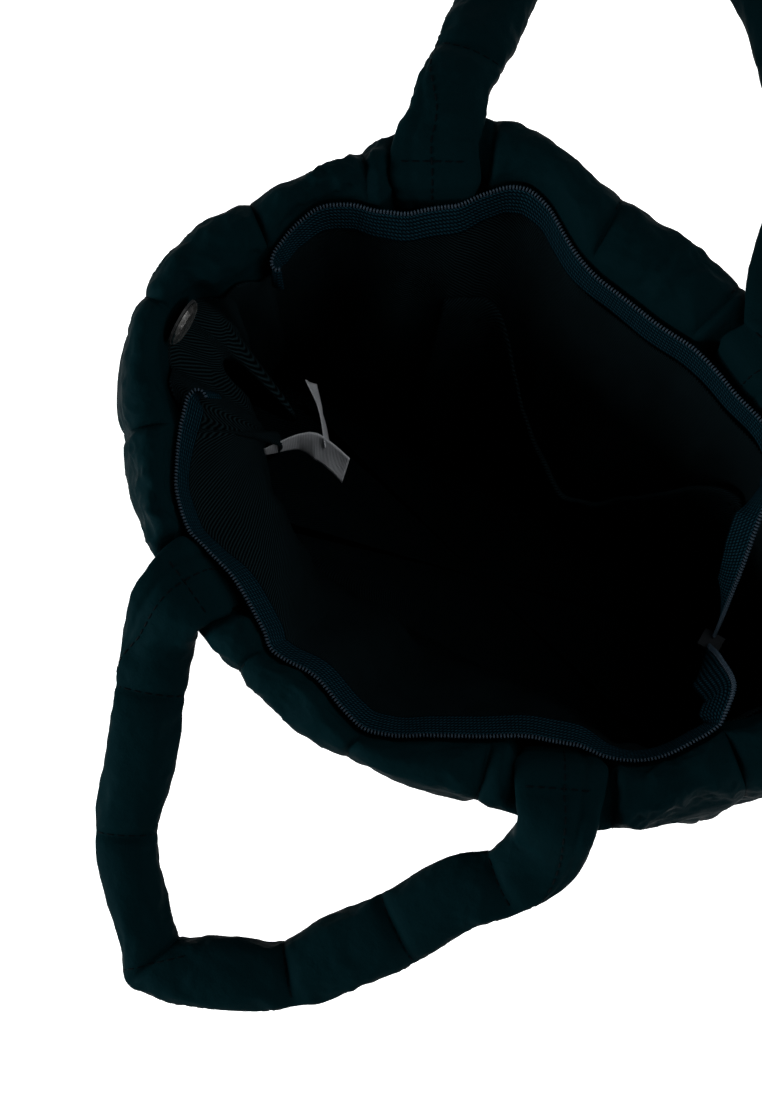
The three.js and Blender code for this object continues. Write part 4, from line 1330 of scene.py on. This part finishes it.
def label_leaf(name, rows):
    """A thin blank leaf through its rows, curled a little across."""
    rows = np.array(rows, float)
    edge, shares = spline(rows[:, :3], 1.0)
    across = read_along(shares, np.arange(len(rows)), rows[:, 3:])
    normal = unit(np.cross(np.gradient(edge, axis=0), across))
    lines = []
    for share in np.linspace(0, 1, LABEL_LINES):
        lines.append(edge + across * share + normal * math.sin(math.pi * share) * LABEL_CURL)
    piece = grid_piece(f"{name}_satin", np.array(lines), SATIN)
    thicken(piece, LABEL_CLOTH)
    dress(piece, "label_satin", name)
    return piece


seat_station, seat_height, seat_rise, seat_drop = LABEL_SEAT
seat = lining_point(np.array([seat_station]), np.array([seat_height]), CLOTH + CLEARANCE)[0]
label_leaf("label_leaf_lower", [(*(seat + (0, 0, seat_rise)), 0, 0, seat_drop), *LABEL_LOWER])
label_leaf("label_leaf_upper", LABEL_UPPER)


# Hard pieces keep their solids and get their finishes

for node, finish in (("zip_slider", STEEL), ("snap_cap", SILVER), ("snap_washer", WASHER)):
    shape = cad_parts[node]
    if not shape.material_slots:
        shape.data.materials.append(finish)
    for slot in shape.material_slots:
        slot.material = finish


# Stitching, laid on the finished cloth

STITCH = 3.0
STITCH_GAP = 1.3
STITCH_WIDTH = 0.75
STITCH_HEIGHT = 0.7
STITCH_LIFT = 0.12
CAST_FROM = 30
QUILT_CAST = (1.5, 0.03)
HANDLE_CAST = (15.0, 25.0)
HANDLE_TURNS = np.linspace(0.12, 0.88, 60) * math.pi


def inward_from(station, height):
    """Level directions into the bag from places on the wall."""
    outward = wall(station, height)[1]
    return np.column_stack([-outward, np.zeros(len(outward))])


def surface_of(*pieces):
    points, faces = [], []
    for piece in pieces:
        first = len(points)
        points.extend(vertex.co.copy() for vertex in piece.data.vertices)
        faces.extend([first + index for index in face.vertices] for face in piece.data.polygons)
    return BVHTree.FromPolygons(points, faces)


def dropped(surface, starts, ways):
    """Where rays in millimetres first meet a surface, with its normals."""
    found, normals = [], []
    for start, way in zip(starts, ways):
        spot, normal, _, _ = surface.ray_cast(Vector(start * MM), Vector(way))
        if spot is None:
            continue
        found.append(np.array(spot) / MM)
        normals.append(-np.array(normal) if np.dot(normal, way) > 0 else np.array(normal))
    return np.array(found), np.array(normals)


def sew(threads, places, normals):
    """Stitches along a line of places on a surface."""
    if len(places) < 3:
        return
    lengths = lengths_along(places)
    pitch = STITCH + STITCH_GAP
    for at in np.arange(pitch / 2, lengths[-1] - pitch / 2, pitch):
        start, end = (read_along(at + shift, lengths, places) for shift in (-STITCH / 2, STITCH / 2))
        up = unit(read_along(at, lengths, normals))
        along = unit(end - start)
        up = unit(up - along * float(up @ along))
        reach = min(float(np.linalg.norm(end - start)), STITCH)
        middle = (start + end) / 2 + up * STITCH_LIFT
        threads.add(middle, along, up, reach, STITCH_WIDTH, STITCH_HEIGHT)


def quilt_stitches():
    """Runs of thread along the stitch lines of every panel."""
    threads = Beads()
    up_step, round_step = QUILT_CAST
    heights = np.arange(QUILT_ROWS[0], RIM_HEIGHT - 4, up_step)
    for name, (first, last) in PANEL_ENDS.items():
        surface = surface_of(PANELS[name])
        columns = np.arange(first + 0.05, last - 0.04, round_step)
        lines = [(column, heights) for column in range(first + 1, last)]
        lines.extend((columns, height) for height in QUILT_ROWS)
        for station, height in lines:
            starts = off_wall(station, CAST_FROM, height)
            sew(threads, *dropped(surface, starts, inward_from(station, height)))
    return dress(threads.piece("quilt_stitches", THREAD), "shell_nylon")


def handle_stitches():
    """Thread across each seam of a handle, round the tube."""
    threads = Beads()
    for piece, route in HANDLES:
        surface = surface_of(piece)
        for line in route["lines"]:
            at = int(np.argmin(np.abs(route["lengths"] - line)))
            centre, level, upright = (route[key][at] for key in ("places", "level", "upright"))
            reach, above = HANDLE_CAST
            spots = centre + level * (reach * np.cos(HANDLE_TURNS))[:, None]
            for turn_side in (1, -1):
                starts = spots + upright * (turn_side * above)
                ways = np.repeat((-turn_side * upright)[None], len(spots), 0)
                sew(threads, *dropped(surface, starts, ways))
        closing = route["closing"][:, None]
        out = route["level"] * np.cos(closing) + route["upright"] * np.sin(closing)
        sew(threads, *dropped(surface, route["places"] + out * CAST_FROM, -out))
    return dress(threads.piece("handle_stitches", THREAD), "shell_nylon")


def hem_stitches():
    """Top stitching along the pocket's hem."""
    threads = Beads()
    columns = np.linspace(POCKET_FIRST + 0.03, POCKET_LAST - 0.03, 200)
    share = np.full_like(columns, 1 - (POCKET_HEM - 1.5) / (POCKET_MOUTH - POCKET_FOOT))
    places = pocket_point(columns, share, CLOTH / 2 + 0.95)
    outward = wall(columns, np.full_like(columns, POCKET_MOUTH))[1]
    sew(threads, places, np.column_stack([-outward, np.full(len(columns), 0.3)]))
    return dress(threads.piece("lining_stitches", THREAD), "lining_twill")


quilt_stitches()
handle_stitches()
hem_stitches()


# Floor, light and camera

IMAGE_HEIGHT = 1100
IMAGE_CENTRE = (381, 550)
RIM_CENTRE_PIXEL = (497.5, 493)
MM_A_PIXEL = 0.385
CAMERA_AZIMUTH = math.radians(30)
CAMERA_ELEVATION = math.radians(82)
CAMERA_DISTANCE = 1300
SENSOR = 36
SKY = 0.05
LIGHT_AIM = (0, 0, 0.2)
# Soft boxes: azimuth, elevation, distance, size and power
SOFT_BOXES = {
    "key_box": (-40, 10, 2.2, 1.2, 92),
    "top_box": (125, 60, 2.2, 1.4, 24),
    "fill_box": (95, 15, 2.4, 1.5, 32),
    "back_box": (205, 15, 2.4, 1.5, 18),
}


def studio_floor():
    bpy.ops.mesh.primitive_plane_add(size=60)
    floor = bpy.context.object
    floor.name = "floor"
    bpy.ops.object.mode_set(mode="EDIT")
    bpy.ops.mesh.subdivide(number_cuts=3)
    bpy.ops.object.mode_set(mode="OBJECT")
    paper = Finish("floor_paper")
    grain = paper.noise(paper.place(), 4, 2)
    sockets = {
        "Base Color": paper.between(grain, (0.93, 0.93, 0.93), (0.96, 0.96, 0.96)),
        "Roughness": 0.9,
        "Specular IOR Level": 0.0,
        "Emission Color": (1, 1, 1, 1),
        "Emission Strength": 0.85,
    }
    floor.data.materials.append(paper.surface(sockets))


def soft_light(name, azimuth, elevation, distance, size, power):
    """A square soft box that faces the bag."""
    turn, lift = math.radians(azimuth), math.radians(elevation)
    way = Vector((math.sin(turn) * math.cos(lift), -math.cos(turn) * math.cos(lift), math.sin(lift)))
    lamp = bpy.data.lights.new(name, "AREA")
    lamp.shape = "SQUARE"
    lamp.size = size
    lamp.energy = power
    holder = bpy.data.objects.new(name, lamp)
    holder.location = Vector(LIGHT_AIM) + way * distance
    holder.rotation_euler = way.to_track_quat("Z", "Y").to_euler()
    scene.collection.objects.link(holder)


def studio_light():
    world = bpy.data.worlds.new("studio")
    world.use_nodes = True
    tree = world.node_tree
    sky = tree.nodes["Background"]
    pale = tree.nodes.new("ShaderNodeBackground")
    for background, strength in ((sky, SKY), (pale, 1)):
        background.inputs["Color"].default_value = (1, 1, 1, 1)
        background.inputs["Strength"].default_value = strength
    mixed = tree.nodes.new("ShaderNodeMixShader")
    path = tree.nodes.new("ShaderNodeLightPath")
    tree.links.new(path.outputs["Is Camera Ray"], mixed.inputs[0])
    tree.links.new(sky.outputs[0], mixed.inputs[1])
    tree.links.new(pale.outputs[0], mixed.inputs[2])
    tree.links.new(mixed.outputs[0], tree.nodes["World Output"].inputs["Surface"])
    scene.world = world
    for name, values in SOFT_BOXES.items():
        soft_light(name, *values)


def photo_camera():
    right = Vector((math.cos(CAMERA_AZIMUTH), math.sin(CAMERA_AZIMUTH), 0))
    level = Vector((math.sin(CAMERA_AZIMUTH), -math.cos(CAMERA_AZIMUTH), 0))
    back = level * math.cos(CAMERA_ELEVATION) + Vector((0, 0, math.sin(CAMERA_ELEVATION)))
    up = back.cross(right)
    across = (IMAGE_CENTRE[0] - RIM_CENTRE_PIXEL[0]) * MM_A_PIXEL
    above = (RIM_CENTRE_PIXEL[1] - IMAGE_CENTRE[1]) * MM_A_PIXEL
    eye = Vector((0, 0, RIM_HEIGHT)) + back * CAMERA_DISTANCE + right * across + up * above
    lens = bpy.data.cameras.new("photo_camera")
    lens.sensor_fit = "VERTICAL"
    lens.sensor_height = SENSOR
    lens.lens = SENSOR * CAMERA_DISTANCE / MM_A_PIXEL / IMAGE_HEIGHT
    camera = bpy.data.objects.new("photo_camera", lens)
    camera.location = eye * MM
    camera.rotation_euler = Matrix((right, up, back)).transposed().to_euler()
    scene.collection.objects.link(camera)
    scene.camera = camera


studio_floor()
studio_light()
photo_camera()
scene.view_settings.view_transform = "Standard"
